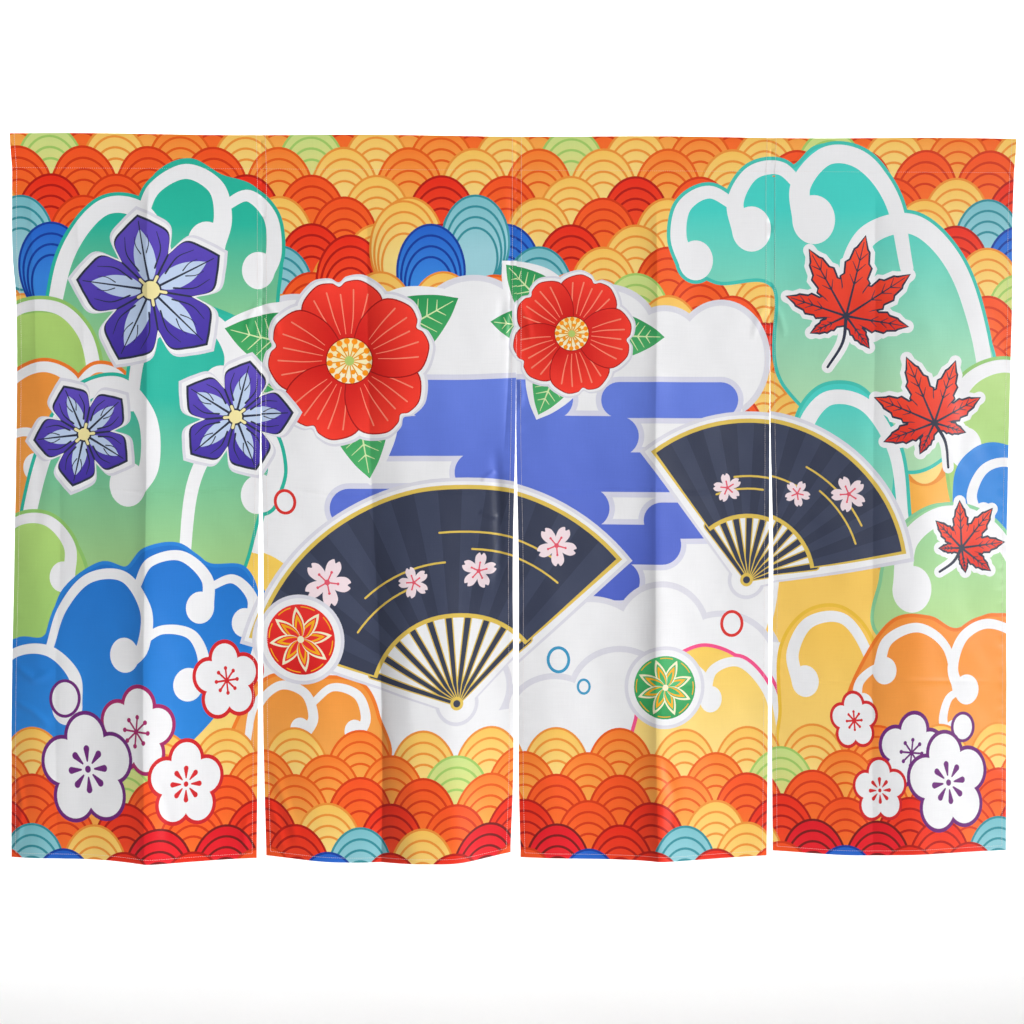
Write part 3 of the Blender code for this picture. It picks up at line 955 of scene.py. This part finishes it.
def hang(name, across, drop):
    """Where points of a panel's flat cloth hang: metres across it, and metres down it from the
    top fold, which are less than zero behind the pocket."""
    fall = np.abs(drop)
    left, right = (smoothly(EDGES[name], fall, side) for side in (1, 2))
    width = right - left
    at = across / FLAT_WIDTHS[name]
    down = np.clip((fall - POCKET) / (DROP - POCKET), 0, None)
    out = smoothly(DEPTHS[name], fall) * rise(FOLDS[name], down, width, at)
    peak = max(FOLDS[name], key=lambda fold: fold[2])[1]
    left_lift, right_lift = EDGE_LIFTS[name]
    lift = left_lift * np.clip(1 - at / peak, 0, 1) ** 2
    lift += right_lift * np.clip(1 - (1 - at) / (1 - peak), 0, 1) ** 2
    out += eased((fall - JOINED) / (LIFT_FULL - JOINED)) * lift
    out += relief(name, across, drop)
    y = np.where(drop < 0, POCKET_LAP, 0) - out
    z = smoothly(FEET[name], at) * down - fall
    in_pocket = fall < POCKET
    x = left + at * width
    height = np.clip(1 - fall / POCKET, 0, 1)
    x *= 1 + POCKET_FLARE * height / HALF_WIDTH
    top = POCKET_WAVE * np.sin(np.pi * POCKET_WAVES * (1 + x / HALF_WIDTH)) * height
    y = np.where(in_pocket, np.interp(-drop, pocket_along, pocket_out) - out, y)
    z = np.where(in_pocket, top - np.interp(-drop, pocket_along, pocket_down), z)
    return np.stack([x, y, z], 1)


def unit(ways):
    return ways / np.linalg.norm(ways, axis=1)[:, None]


def facing(name, across, drop):
    """The way the printed side faces at points of the flat cloth."""
    reach = 0.0003
    right = hang(name, across + reach, drop) - hang(name, across - reach, drop)
    up = hang(name, across, drop - reach) - hang(name, across, drop + reach)
    return unit(np.cross(right, up))


def inside(corners, spots):
    """Which spots lie inside a closed shape."""
    x, y = spots[:, 0, None], spots[:, 1, None]
    (ax, ay), (bx, by) = corners.T, np.roll(corners, -1, axis=0).T
    side = (bx - ax) * (y - ay) - (x - ax) * (by - ay)
    up = (ay <= y) & (by > y) & (side > 0)
    down = (ay > y) & (by <= y) & (side < 0)
    return up.sum(1) != down.sum(1)


def within(corners, spots):
    """Numbers of the spots inside a closed shape."""
    low, high = corners.min(0), corners.max(0)
    near = np.flatnonzero(((spots >= low) & (spots <= high)).all(1))
    return near[inside(corners, spots[near])] if len(near) else near


# What the triangles keep to, in millimetres but for the hem's step
GRID = 7.5  # between the points that carry the cloth's form
SEGMENT = 5.0  # the longest straight piece of a printed outline
APART = 2.2  # no point of the grid comes nearer than about this to a printed edge
CREASE_SIDE = 14  # the lines beside a pressed crease lie within this of it
HEM_STEP = 0.0004  # metres over which the hem's layers begin
# close together over the top fold and where the pocket is stitched
FINE_DOWN = (-60, -57, -54, -6, -3, -1.5, -0.7, 0, 0.7, 1.5, 3, 6, 54, 57, 60, 64)


def outlines(low, high):
    """The printed edges that still show inside a stretch of cloth, as pairs of end points, and
    the numbers of the shapes that reach into it."""
    reaching = [
        number
        for number, shape in enumerate(printed)
        if (shape[0].max(0) >= low).all() and (shape[0].min(0) <= high).all()
    ]
    starts, stops, order = [], [], []
    for number in reaching:
        corners = printed[number][0]
        run = np.roll(corners, -1, axis=0) - corners
        pieces = np.maximum(1, np.ceil(np.hypot(*run.T) / SEGMENT)).astype(int)
        own = np.repeat(np.arange(len(corners)), pieces)
        place = np.arange(len(own)) - np.repeat(np.cumsum(pieces) - pieces, pieces)
        starts.append(corners[own] + run[own] * (place / pieces[own])[:, None])
        stops.append(corners[own] + run[own] * ((place + 1) / pieces[own])[:, None])
        order.append(np.full(len(own), number))
    starts, stops, order = (np.concatenate(rows) for rows in (starts, stops, order))
    # clipped to the stretch
    first, last = np.zeros(len(starts)), np.ones(len(starts))
    run = stops - starts
    for axis in (0, 1):
        flat = np.abs(run[:, axis]) < 1e-9
        step = np.where(flat, 1, run[:, axis])
        enter = (low[axis] - starts[:, axis]) / step
        leave = (high[axis] - starts[:, axis]) / step
        out = flat & ((starts[:, axis] < low[axis]) | (starts[:, axis] > high[axis]))
        first = np.where(flat, first, np.maximum(first, np.minimum(enter, leave)))
        last = np.where(flat, last, np.minimum(last, np.maximum(enter, leave)))
        last[out] = -1
    keep = last - first > 1e-6
    starts, run, first, last, order = (rows[keep] for rows in (starts, run, first, last, order))
    stops = starts + run * last[:, None]
    starts = starts + run * first[:, None]
    # without what a later shape covers
    shows = np.stack([starts, (starts + stops) / 2, stops], 1)
    covered = np.zeros(shows.shape[:2], bool)
    for number in reaching:
        early = np.flatnonzero((order < number) & ~covered.all(1))
        hit = within(printed[number][0], shows[early].reshape(-1, 2))
        covered[early[hit // 3], hit % 3] = True
    keep = ~covered.all(1)
    return starts[keep], stops[keep], reaching


def grid_lines(low, high, fine):
    """Places from low to high, a grid step apart, with further ones where they are listed."""
    even = np.linspace(low, high, math.ceil((high - low) / GRID) + 1)
    near = np.array([at for at in fine if low < at < high])
    if len(near):
        even = even[np.abs(even[:, None] - near).min(1) > 0.35 * GRID]
    return np.unique(np.concatenate([[low, high], even, near]).round(4))


def cells(spots, size):
    return set(map(tuple, np.floor(spots / size).astype(int)))


def apart_from(spots, others, size):
    """Which spots share no square of that size with the others."""
    taken = cells(others, size)
    return np.array([tuple(cell) not in taken for cell in np.floor(spots / size).astype(int)])


def along_creases(name, down, first_across):
    """Points along each pressed crease, a line at a time, and points beside each other one."""
    folds = []
    for line_down, _, left, right in PRESSED[name]:
        on_it = down[(down > line_down[0][0]) & (down < line_down[-1][0])]
        middle = smoothly(line_down, on_it) + first_across
        near, far = min(left, CREASE_SIDE), min(right, CREASE_SIDE)
        for off in (-0.8 * near, -0.35 * near, -1, 0, 1, 0.35 * far, 0.8 * far):
            folds.append(np.stack([middle + off, on_it], 1))
    beside = [np.zeros((0, 2))]
    for path, _, half in CREASES[name]:
        centre = curve(*path)
        for off in (-1.6, -1.0, -0.5, 0, 0.5, 1.0, 1.6):
            beside.append(centre + off * half * sideways(ahead(centre)))
    return folds, np.concatenate(beside) + (first_across, 0)


def cut_cloth(name):
    """A panel's flat cloth as triangles along the print's edges: points in millimetres from
    the panel's left edge and the top fold, triangles, and the shape on top of each."""
    width, hem, step = FLAT_WIDTHS[name] * 1000, HEM * 1000, HEM_STEP * 1000
    first_across = FLAT_STARTS[name] * 1000
    low = np.array([first_across, -(POCKET + TURN_IN) * 1000])
    high = np.array([first_across + width, DROP * 1000])
    starts, stops, reaching = outlines(low, high)
    hem_sides = (hem, hem + step, width - hem - step, width - hem)
    fine_across = [first_across + at for at in hem_sides]
    fine_down = [*FINE_DOWN, high[1] - hem - step, high[1] - hem]
    across = grid_lines(low[0], high[0], fine_across)
    down = grid_lines(low[1], high[1], fine_down)
    folds, beside = along_creases(name, down, first_across)
    # the lines that the triangles keep to: the print, the sharp folds, the hems and the rim
    lines = list(folds)
    for x in [*fine_across, low[0], high[0]]:
        lines.append(np.stack([np.full(len(down), x), down], 1))
    for y in [*fine_down, low[1], high[1]]:
        lines.append(np.stack([across, np.full(len(across), y)], 1))
    points = [starts, stops]
    edges = [np.stack([np.arange(len(starts)), np.arange(len(starts)) + len(starts)], 1)]
    count = 2 * len(starts)
    for path in lines:
        points.append(path)
        edges.append(np.stack([np.arange(len(path) - 1), np.arange(1, len(path))], 1) + count)
        count += len(path)
    # loose points: beside the creases and over the grid, clear of those lines
    beside = beside[((beside > low + 1) & (beside < high - 1)).all(1)]
    taken = np.concatenate([starts, stops, *folds])
    beside = beside[apart_from(beside, taken, APART)]
    taken = np.concatenate([taken, beside])
    grid = np.stack(np.meshgrid(across, down), -1).reshape(-1, 2)
    grid = grid[apart_from(grid, taken, APART) & apart_from(grid, taken + APART / 2, APART)]
    points = np.concatenate([*points, beside, grid])
    points, number = np.unique(points.round(3), axis=0, return_inverse=True)
    edges = number.reshape(-1)[np.concatenate(edges)]
    edges = np.unique(np.sort(edges[edges[:, 0] != edges[:, 1]], axis=1), axis=0)
    verts, _, faces, _, _, _ = geometry.delaunay_2d_cdt(
        [Vector(point) for point in points.tolist()], edges.tolist(), [], 0, 1e-4, False
    )
    spots = np.array([tuple(vert) for vert in verts])
    faces = np.array(faces)
    # seen from the front, triangles run anticlockwise, and the drop counts downwards
    a, b, c = spots[faces[0]]
    if (b[0] - a[0]) * (c[1] - a[1]) - (b[1] - a[1]) * (c[0] - a[0]) > 0:
        faces = faces[:, ::-1]
    middles = spots[faces].mean(1)
    on_top = np.zeros(len(faces), int)
    for place in reaching:
        on_top[within(printed[place][0], middles)] = place
    return spots, faces, on_top


def dye(places, on_top):
    """The printed colour at the corners of each triangle."""
    columns = (np.array([shape[part] for shape in printed]) for part in (1, 2, 3, 4))
    first, second, start, stop = (column[on_top][:, None] for column in columns)
    run = stop - start
    share = np.clip(((places - start) * run).sum(2) / (run * run).sum(2), 0, 1)[..., None]
    return first * (1 - share) + second * share


def rim_of(faces):
    """Every triangle's sides, and which of them no other triangle shares."""
    sides = np.stack([faces, np.roll(faces, -1, axis=1)], 2).reshape(-1, 2)
    ends = np.sort(sides, axis=1)
    _, known, times = np.unique(ends, axis=0, return_inverse=True, return_counts=True)
    return sides, times[known.reshape(-1)] == 1


def side_by_side(flat, width, rim, corner):
    """A second layout of the cloth for each corner of its mesh: the printed side on the left,
    the reverse beside it, and the rim as a strip on the right."""
    long = DROP + POCKET + TURN_IN
    across, drop = flat.T
    tall = 0.01 + 0.98 * (DROP - drop) / long
    printed_side = np.stack([0.01 + 0.48 * across / width, tall], 1)
    reverse = np.stack([0.97 - 0.46 * across / width, tall], 1)
    sheets = np.concatenate([printed_side, reverse])
    rim_middle = flat[rim].mean(1)
    on_left, on_right = rim_middle[:, 0] < 1e-5, rim_middle[:, 0] > width - 1e-5
    on_foot = rim_middle[:, 1] > DROP - 1e-5
    # how far round the rim: down the left, along the foot, up the right, back along the top
    down, along = flat[rim][:, :, 1] + POCKET + TURN_IN, flat[rim][:, :, 0]
    round_it = 2 * long + width + width - along
    round_it[on_left] = down[on_left]
    round_it[on_foot] = long + along[on_foot]
    round_it[on_right] = 2 * long + width - down[on_right]
    round_it = 0.01 + 0.98 * round_it[:, [1, 0, 0, 1]].reshape(-1) / (2 * long + 2 * width)
    strip = np.stack([np.tile([0.98, 0.98, 0.995, 0.995], len(rim)), round_it], 1)
    return np.concatenate([sheets[corner[: -len(strip)]], strip])


def shade_softly(mesh, normals, sharp, walls):
    """Soft shading along the cloth. The hem's step is sharp, and the rim's faces, the last of
    the mesh, turn over roundly."""
    mesh.shade_smooth()
    mesh.update()
    count = len(mesh.polygons)
    flat_facing = np.zeros(count * 3)
    mesh.polygons.foreach_get("normal", flat_facing)
    own = np.repeat(np.arange(count), [3] * (count - walls) + [4] * walls)
    flat_facing = flat_facing.reshape(-1, 3)[own]
    normals = np.where(sharp[own, None], flat_facing, normals)
    wall = own >= count - walls
    normals[wall] += flat_facing[wall]
    mesh.normals_split_custom_set(unit(normals).tolist())


def place_in_scene(name, data):
    made = bpy.data.objects.new(name, data)
    bpy.context.scene.collection.objects.link(made)
    return made


def panel(name):
    """The cloth as a thin closed sheet: a printed side, a reverse with the hems, and a rim."""
    spots, faces, on_top = cut_cloth(name)
    colours = dye(spots[faces], on_top)
    width = FLAT_WIDTHS[name]
    flat = spots / 1000 - (FLAT_STARTS[name], 0)
    across, drop = flat.T
    middle, out = hang(name, across, drop), facing(name, across, drop)
    edge = np.minimum(np.minimum(across, width - across), DROP - drop)
    hemmed = np.clip((HEM + HEM_STEP - edge) / HEM_STEP, 0, 1)
    front = middle + out * CLOTH / 2
    back = middle - out * (CLOTH / 2 + HEM_THICK * hemmed)[:, None]
    sides, lone = rim_of(faces)
    rim = sides[lone]
    behind = faces[:, ::-1] + len(spots)
    walls = np.concatenate([rim[:, ::-1], rim + len(spots)], 1)
    mesh = bpy.data.meshes.new(name + "_cloth")
    every = faces.tolist() + behind.tolist() + walls.tolist()
    mesh.from_pydata(np.concatenate([front, back]).tolist(), [], every)
    corner = np.concatenate([faces.ravel(), behind.ravel(), walls.ravel()])
    side_colours = np.stack([colours, np.roll(colours, -1, axis=1)], 2).reshape(-1, 2, 3)
    wall_colours = side_colours[lone][:, [1, 0, 0, 1]]
    paint = [part.reshape(-1, 3) for part in (colours, colours[:, ::-1], wall_colours)]
    paint = np.pad(np.concatenate(paint), ((0, 0), (0, 1)), constant_values=1)
    layer = mesh.color_attributes.new("Print", "FLOAT_COLOR", "CORNER")
    layer.data.foreach_set("color", paint.ravel())
    weave = mesh.uv_layers.new(name="Cloth")
    weave.uv.foreach_set("vector", np.concatenate([flat, flat])[corner].ravel())
    layout = side_by_side(flat, width, rim, corner)
    mesh.uv_layers.new(name="OFBake").uv.foreach_set("vector", layout.ravel())
    # which side shows: the hems are folded over, so they show the printed side on the back
    hem_least, hem_most = hemmed[faces].min(1), hemmed[faces].max(1)
    slots = np.concatenate([0 * hem_least, np.where(hem_least > 0.99, 0, 1), np.zeros(len(walls))])
    mesh.polygons.foreach_set("material_index", slots.astype(np.int32))
    sharp = np.zeros(len(slots), bool)
    sharp[len(faces) : 2 * len(faces)] = (hem_most > 0.5) & (hem_least < 0.5)
    shade_softly(mesh, np.concatenate([out, -out])[corner], sharp, len(walls))
    return place_in_scene(name + "_cloth", mesh)


class Value:
    """A socket that takes part in sums, each of which adds a Math node."""

    def __init__(self, finish, socket):
        self.finish, self.socket = finish, socket

    def sum(self, operation, first, second):
        return self.finish.add("ShaderNodeMath", {"operation": operation}, {0: first, 1: second})

    def __add__(self, other):
        return self.sum("ADD", self, other)

    def __mul__(self, other):
        return self.sum("MULTIPLY", self, other)

    def __sub__(self, other):
        return self.sum("SUBTRACT", self, other)

    def __rsub__(self, other):
        return self.sum("SUBTRACT", other, self)

    __radd__, __rmul__ = __add__, __mul__


class Finish:
    """A material, made node by node."""

    def __init__(self, name, **constants):
        self.material = bpy.data.materials.new(name)
        self.material.use_nodes = True
        self.tree = self.material.node_tree
        self.shader = self.tree.nodes["Principled BSDF"]
        for key, value in constants.items():
            self.shader.inputs[key.replace("_", " ")].default_value = value

    def add(self, kind, settings=None, sockets=None, output=0):
        node = self.tree.nodes.new(kind)
        for key, value in (settings or {}).items():
            setattr(node, key, value)
        self.join(node, sockets or {})
        return Value(self, node.outputs[output])

    def join(self, node, sockets):
        for key, value in sockets.items():
            if isinstance(value, Value):
                self.tree.links.new(value.socket, node.inputs[key])
            else:
                node.inputs[key].default_value = value

    def shade(self, sockets):
        self.join(self.shader, sockets)


THREAD_PITCH = 0.0009  # metres between the threads of the weave that show
# a mix of colours: its sockets are 0 the share, 6 and 7 the colours, and its result is output 2
COLOURS = {"data_type": "RGBA"}
SHOW_THROUGH = (0.86, 0.86, 0.88, 1)  # the undyed cloth that pales the reverse


def woven(finish):
    """The weave on the flat cloth: its height, from 0 to 1, its slubs and its wider wear."""
    flat = finish.add("ShaderNodeUVMap", {"uv_map": "Cloth"})
    parts = finish.add("ShaderNodeSeparateXYZ", {}, {0: flat})
    down = Value(finish, parts.socket.node.outputs[1])

    def waves_of(place):
        turns = place * (math.pi / THREAD_PITCH)
        return finish.add("ShaderNodeMath", {"operation": "SINE"}, {0: turns})

    def streaks(wide, tall, detail):
        """Thick and thin places, so many to a metre across and down."""
        stretch = {"operation": "MULTIPLY"}
        place = finish.add("ShaderNodeVectorMath", stretch, {0: flat, 1: (wide, tall, 1)})
        return finish.add("ShaderNodeTexNoise", {}, {"Vector": place, "Scale": 1, "Detail": detail})

    weave = waves_of(parts) * waves_of(down)
    warp = streaks(640, 26, 2)
    weft = streaks(22, 560, 2)
    wear = streaks(9, 7, 3)
    return weave * 0.5 + 0.5, (warp + weft) * 0.5, wear


def printed_cloth(name, fade, roughness, **constants):
    """Dyed polyester satin. The reverse is paler, because the dye comes through thinly."""
    finish = Finish(name, **constants)
    weave, slubs, wear = woven(finish)
    dyed = finish.add("ShaderNodeVertexColor", {"layer_name": "Print"})
    faded = finish.add("ShaderNodeMix", COLOURS, {0: fade, 6: dyed, 7: SHOW_THROUGH}, 2)
    # thin and thick places in the thread take the dye unevenly, and wider wear varies the tone at
    # random; the weave's hollows carry painted shade, a little darker than its tops
    dye_and_painted_shade = 0.90 + slubs * 0.13 + weave * 0.04 + wear * 0.03
    colour = finish.add("ShaderNodeVectorMath", {"operation": "SCALE"}, {0: faded, "Scale": dye_and_painted_shade})
    height = weave * 0.30 + slubs * 1.1 + wear * 2.0
    bump = finish.add("ShaderNodeBump", {}, {"Strength": 0.35, "Distance": 0.0004, "Height": height})
    rough = roughness + (slubs - 0.5) * 0.22 + (wear - 0.5) * 0.16
    finish.shade({"Base Color": colour, "Roughness": rough, "Normal": bump})
    return finish.material


satin = {"Sheen_Weight": 0.05, "Sheen_Roughness": 0.4, "Specular_IOR_Level": 0.30}
PRINTED_SIDE = printed_cloth("printed satin", 0.0, 0.40, **satin)
REVERSE = printed_cloth("satin reverse", 0.42, 0.58, Sheen_Weight=0.05, Specular_IOR_Level=0.25)
panels = {}
for name in FOLDS:
    cloth = panel(name)
    cloth.data.materials.append(PRINTED_SIDE)
    cloth.data.materials.append(REVERSE)
    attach(cloth, "root")
    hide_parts(name, "heading")
    panels[name] = cloth


# ---- Sewing thread -------------------------------------------------------------------------
# Polyester sewing thread, a little pinkish: the line that closes the rod pocket, the hems down
# both sides and along the foot of each panel, the seams that join the panels at the top, and,
# behind, a bar of close stitches at the top of each slit.
STITCH = 0.0030
STITCH_GAP = 0.0006
SUNK_STITCH = 0.0017  # the pocket line's stitches sink into the cloth in front
SUNK_GAP = 0.0019
THREAD_HALF = 0.00025  # half of the thread's thickness
SEAM_IN = 0.0075  # from the edge of the cloth to the hem's stitches
BACK_LINE_UP = 0.0006  # how much higher the pocket's line lies on its back than in front
JOIN_STEP = 0.0042  # from stitch to stitch of the seams that join the panels
JOIN_FROM = 0.004  # how far below the pocket's line they start
JOIN_STITCH = (0.0004, 0.0030, 0.0018)  # from and to across the cloth, and how far it slants
BAR_STEP = 0.0006  # from stitch to stitch of a bar
BAR_NEAR, BAR_FAR = 0.0003, 0.0036  # from the cloth's edge
BAR_ROWS = 3  # above the top of the slit, and below
LINE_END = 0.0005  # how near the pocket's lines of stitches come to the panel's edge
# along a stitch, and its half thickness and its height above the cloth, as shares of THREAD_HALF
STITCH_FORM = ((0.0, 0.45, -0.6), (0.22, 1.0, 0.45), (0.78, 1.0, 0.45), (1.0, 0.45, -0.6))


def running(path, length=STITCH, gap=STITCH_GAP):
    """The two ends of each stitch along a straight run of the flat cloth."""
    start, stop = np.array(path, float)
    whole = math.hypot(*(stop - start))
    count = max(1, int(whole / (length + gap)))
    step = whole / count
    begin = (np.arange(count) + 0.5)[:, None] * step
    way = (stop - start) / whole
    half = (step - gap) / 2
    return np.concatenate([start + way * (begin - half), start + way * (begin + half)], 1)


def stitches(name, ends, back):
    """Corner points of every stitch, on the printed side or the back."""
    width = FLAT_WIDTHS[name]
    rings = []
    for along, thick, height in STITCH_FORM:
        across, drop = (ends[:, :2] + along * (ends[:, 2:] - ends[:, :2])).T
        middle, out = hang(name, across, drop), facing(name, across, drop)
        edge = np.minimum(np.minimum(across, width - across), DROP - drop)
        hemmed = np.where(edge < HEM, HEM_THICK, 0)
        lift = CLOTH / 2 + height * THREAD_HALF + back * hemmed
        centre = middle + (1 - 2 * back) * out * lift[:, None]
        rings.append((centre, out, thick))
    way = unit(rings[-1][0] - rings[0][0])
    corners = []
    for centre, out, thick in rings:
        side = np.cross(way, out)
        for a, b in ((1, 0), (0, 1), (-1, 0), (0, -1)):
            corners.append(centre + thick * THREAD_HALF * (a * side + b * out))
    return np.stack(corners, 1)


def sew(name, runs):
    """One object of all the stitches in a panel: each run is its stitch ends and its side."""
    corners = np.concatenate([stitches(name, ends, back) for ends, back in runs])
    form = []
    for ring in range(len(STITCH_FORM) - 1):
        for a in range(4):
            b = (a + 1) % 4
            form.append((4 * ring + a, 4 * ring + b, 4 * ring + 4 + b, 4 * ring + 4 + a))
    last = 4 * len(STITCH_FORM)
    form += [(3, 2, 1, 0), (last - 4, last - 3, last - 2, last - 1)]
    form = np.array(form)
    every = (form[None] + last * np.arange(len(corners))[:, None, None]).reshape(-1, 4)
    mesh = bpy.data.meshes.new(name + "_thread")
    mesh.from_pydata(corners.reshape(-1, 3).tolist(), [], every.tolist())
    twist = mesh.uv_layers.new(name="Twist")
    along = np.repeat([row[0] for row in STITCH_FORM], 4)
    places = np.stack([along, np.tile(np.arange(4) / 4, len(STITCH_FORM))], 1)
    shift = (np.arange(len(corners)) * 0.37 % 1)[:, None, None] * (0, 1)
    twist.uv.foreach_set("vector", (places[form.ravel()][None] + shift).ravel())
    mesh.shade_smooth()
    return place_in_scene(name + "_thread", mesh)


thread = Finish("sewing thread", Sheen_Weight=0.2, Specular_IOR_Level=0.35)
TWISTS = 34.0  # how fast the ply turns along a stitch, in radians
# painted shade: the thread is darker in the grooves between its strands and lighter on their tops, and
# the ply's height picks between the two
THREAD_SHADED_GROOVE = (0.80, 0.68, 0.67, 1)
THREAD_LIT_STRAND = (0.95, 0.88, 0.86, 1)
twist = thread.add("ShaderNodeUVMap", {"uv_map": "Twist"})
turns = thread.add("ShaderNodeSeparateXYZ", {}, {0: twist})
round_it = Value(thread, turns.socket.node.outputs[1])
strands = thread.add("ShaderNodeMath", {"operation": "SINE"}, {0: turns * TWISTS + round_it * 6.283})
ply = strands * 0.5 + 0.5
painted_ply_shade = {0: ply, 6: THREAD_SHADED_GROOVE, 7: THREAD_LIT_STRAND}
thread_bump = thread.add("ShaderNodeBump", {}, {"Strength": 0.5, "Distance": 0.00006, "Height": ply})
thread_colour = thread.add("ShaderNodeMix", COLOURS, painted_ply_shade, 2)
thread.shade({"Base Color": thread_colour, "Roughness": 0.5 + ply * 0.15, "Normal": thread_bump})

for name, cloth in panels.items():
    width, foot = FLAT_WIDTHS[name], DROP - SEAM_IN
    runs = []
    for back in (0, 1):
        for side in (SEAM_IN, width - SEAM_IN):
            runs.append((running(((side, -POCKET), (side, foot))), back))
        runs.append((running(((SEAM_IN, foot), (width - SEAM_IN, foot))), back))
    # the pocket's line of stitches, in front and on its back
    for drop, form in ((POCKET, (SUNK_STITCH, SUNK_GAP)), (BACK_LINE_UP - POCKET, ())):
        runs.append((running(((LINE_END, drop), (width - LINE_END, drop)), *form), 0))
    # the seam that joins the panel to the one on its left
    if name != "panel_1":
        down = np.arange(POCKET + JOIN_FROM, JOINED, JOIN_STEP)
        near, far, slant = JOIN_STITCH
        runs.append((np.stack([0 * down + near, down, 0 * down + far, down + slant], 1), 1))
    # the bars at the tops of the slits on its left and on its right
    down = JOINED + np.arange(-BAR_ROWS, BAR_ROWS + 1) * BAR_STEP
    bars = []
    if name != "panel_1":
        bars.append((BAR_NEAR, BAR_FAR))
    if name != "panel_4":
        bars.append((width - BAR_FAR, width - BAR_NEAR))
    for near, far in bars:
        runs.append((np.stack([0 * down + near, down, 0 * down + far, down], 1), 1))
    sewn = sew(name, runs)
    sewn.data.materials.append(thread.material)
    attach(sewn, "root")


# ---- Room, lights and camera ---------------------------------------------------------------
# A photographer's sweep of pale paper, soft lamps and the camera, square on to the curtain and
# a touch to its left.
VIEW_TURN = math.radians(1.37)
VIEW_AWAY = 2.70
VIEW_WIDTH = 1.709  # what the picture takes in, at the curtain
VIEW_AIM = Vector((-0.008, 0.0, -0.6275))
camera_data = bpy.data.cameras.new("Camera")
camera_data.sensor_width = 36
camera_data.lens = 36 * VIEW_AWAY / VIEW_WIDTH
camera = place_in_scene("Camera", camera_data)
camera.location = VIEW_AIM - VIEW_AWAY * Vector((math.sin(VIEW_TURN), math.cos(VIEW_TURN), 0))
camera.rotation_euler = (math.radians(90), 0, -VIEW_TURN)
bpy.context.scene.camera = camera

FLOOR = -1.95
PAPER_FRONT = -7  # how far the paper comes forward on the floor
PAPER_TOP = 4.5
PAPER_HALF = 12  # half of its width
SWEEP = 1.2  # radius of the bend from the floor up to the wall
BEND_FROM = 3.6  # how far behind the curtain the floor starts to bend up
profile = [(PAPER_FRONT, FLOOR)]
for t in np.linspace(0, math.pi / 2, 17):
    profile.append((BEND_FROM + SWEEP * math.sin(t), FLOOR + SWEEP * (1 - math.cos(t))))
profile.append((BEND_FROM + SWEEP, PAPER_TOP))
paper_points = [(x, y, z) for y, z in profile for x in (-PAPER_HALF, PAPER_HALF)]
paper_faces = [(2 * k, 2 * k + 1, 2 * k + 3, 2 * k + 2) for k in range(len(profile) - 1)]
backdrop_mesh = bpy.data.meshes.new("backdrop")
backdrop_mesh.from_pydata(paper_points, [], paper_faces)
backdrop_mesh.shade_smooth()
backdrop = place_in_scene("backdrop", backdrop_mesh)
paper = Finish("pale paper", Roughness=0.9)
grain = paper.add("ShaderNodeTexNoise", {}, {"Scale": 40, "Detail": 3})
paper_mix = {0: grain, 6: (0.92, 0.92, 0.92, 1), 7: (0.94, 0.94, 0.94, 1)}
paper.shade({"Base Color": paper.add("ShaderNodeMix", COLOURS, paper_mix, 2)})
backdrop_mesh.materials.append(paper.material)


def lamp(name, place, aim, size, power):
    """A soft oblong lamp, turned towards the place that it lights."""
    data = bpy.data.lights.new(name, "AREA")
    data.shape = "RECTANGLE"
    data.size, data.size_y = size
    data.energy = power
    made = place_in_scene(name, data)
    made.location = place
    made.rotation_euler = (Vector(aim) - Vector(place)).to_track_quat("-Z", "Y").to_euler()


key_data = bpy.data.lights.new("key", "SUN")
key_data.energy = 2.95
key_data.angle = math.radians(16)
key = place_in_scene("key", key_data)
key.rotation_euler = Vector((-1.30, 1.0, -0.30)).to_track_quat("-Z", "Y").to_euler()
lamp("fill", (2.0, -3.3, 0.0), (0.3, 0, -0.6), (1.6, 2.0), 5)
lamp("backdrop_light", (0, 2.0, 2.6), (0, 5.0, 1.65), (7.0, 1.0), 280)
world = bpy.data.worlds.new("studio")
world.use_nodes = True
world.node_tree.nodes["Background"].inputs["Color"].default_value = (1, 1, 1, 1)
world.node_tree.nodes["Background"].inputs["Strength"].default_value = 0.17
bpy.context.scene.world = world
bpy.context.scene.view_settings.view_transform = "Standard"
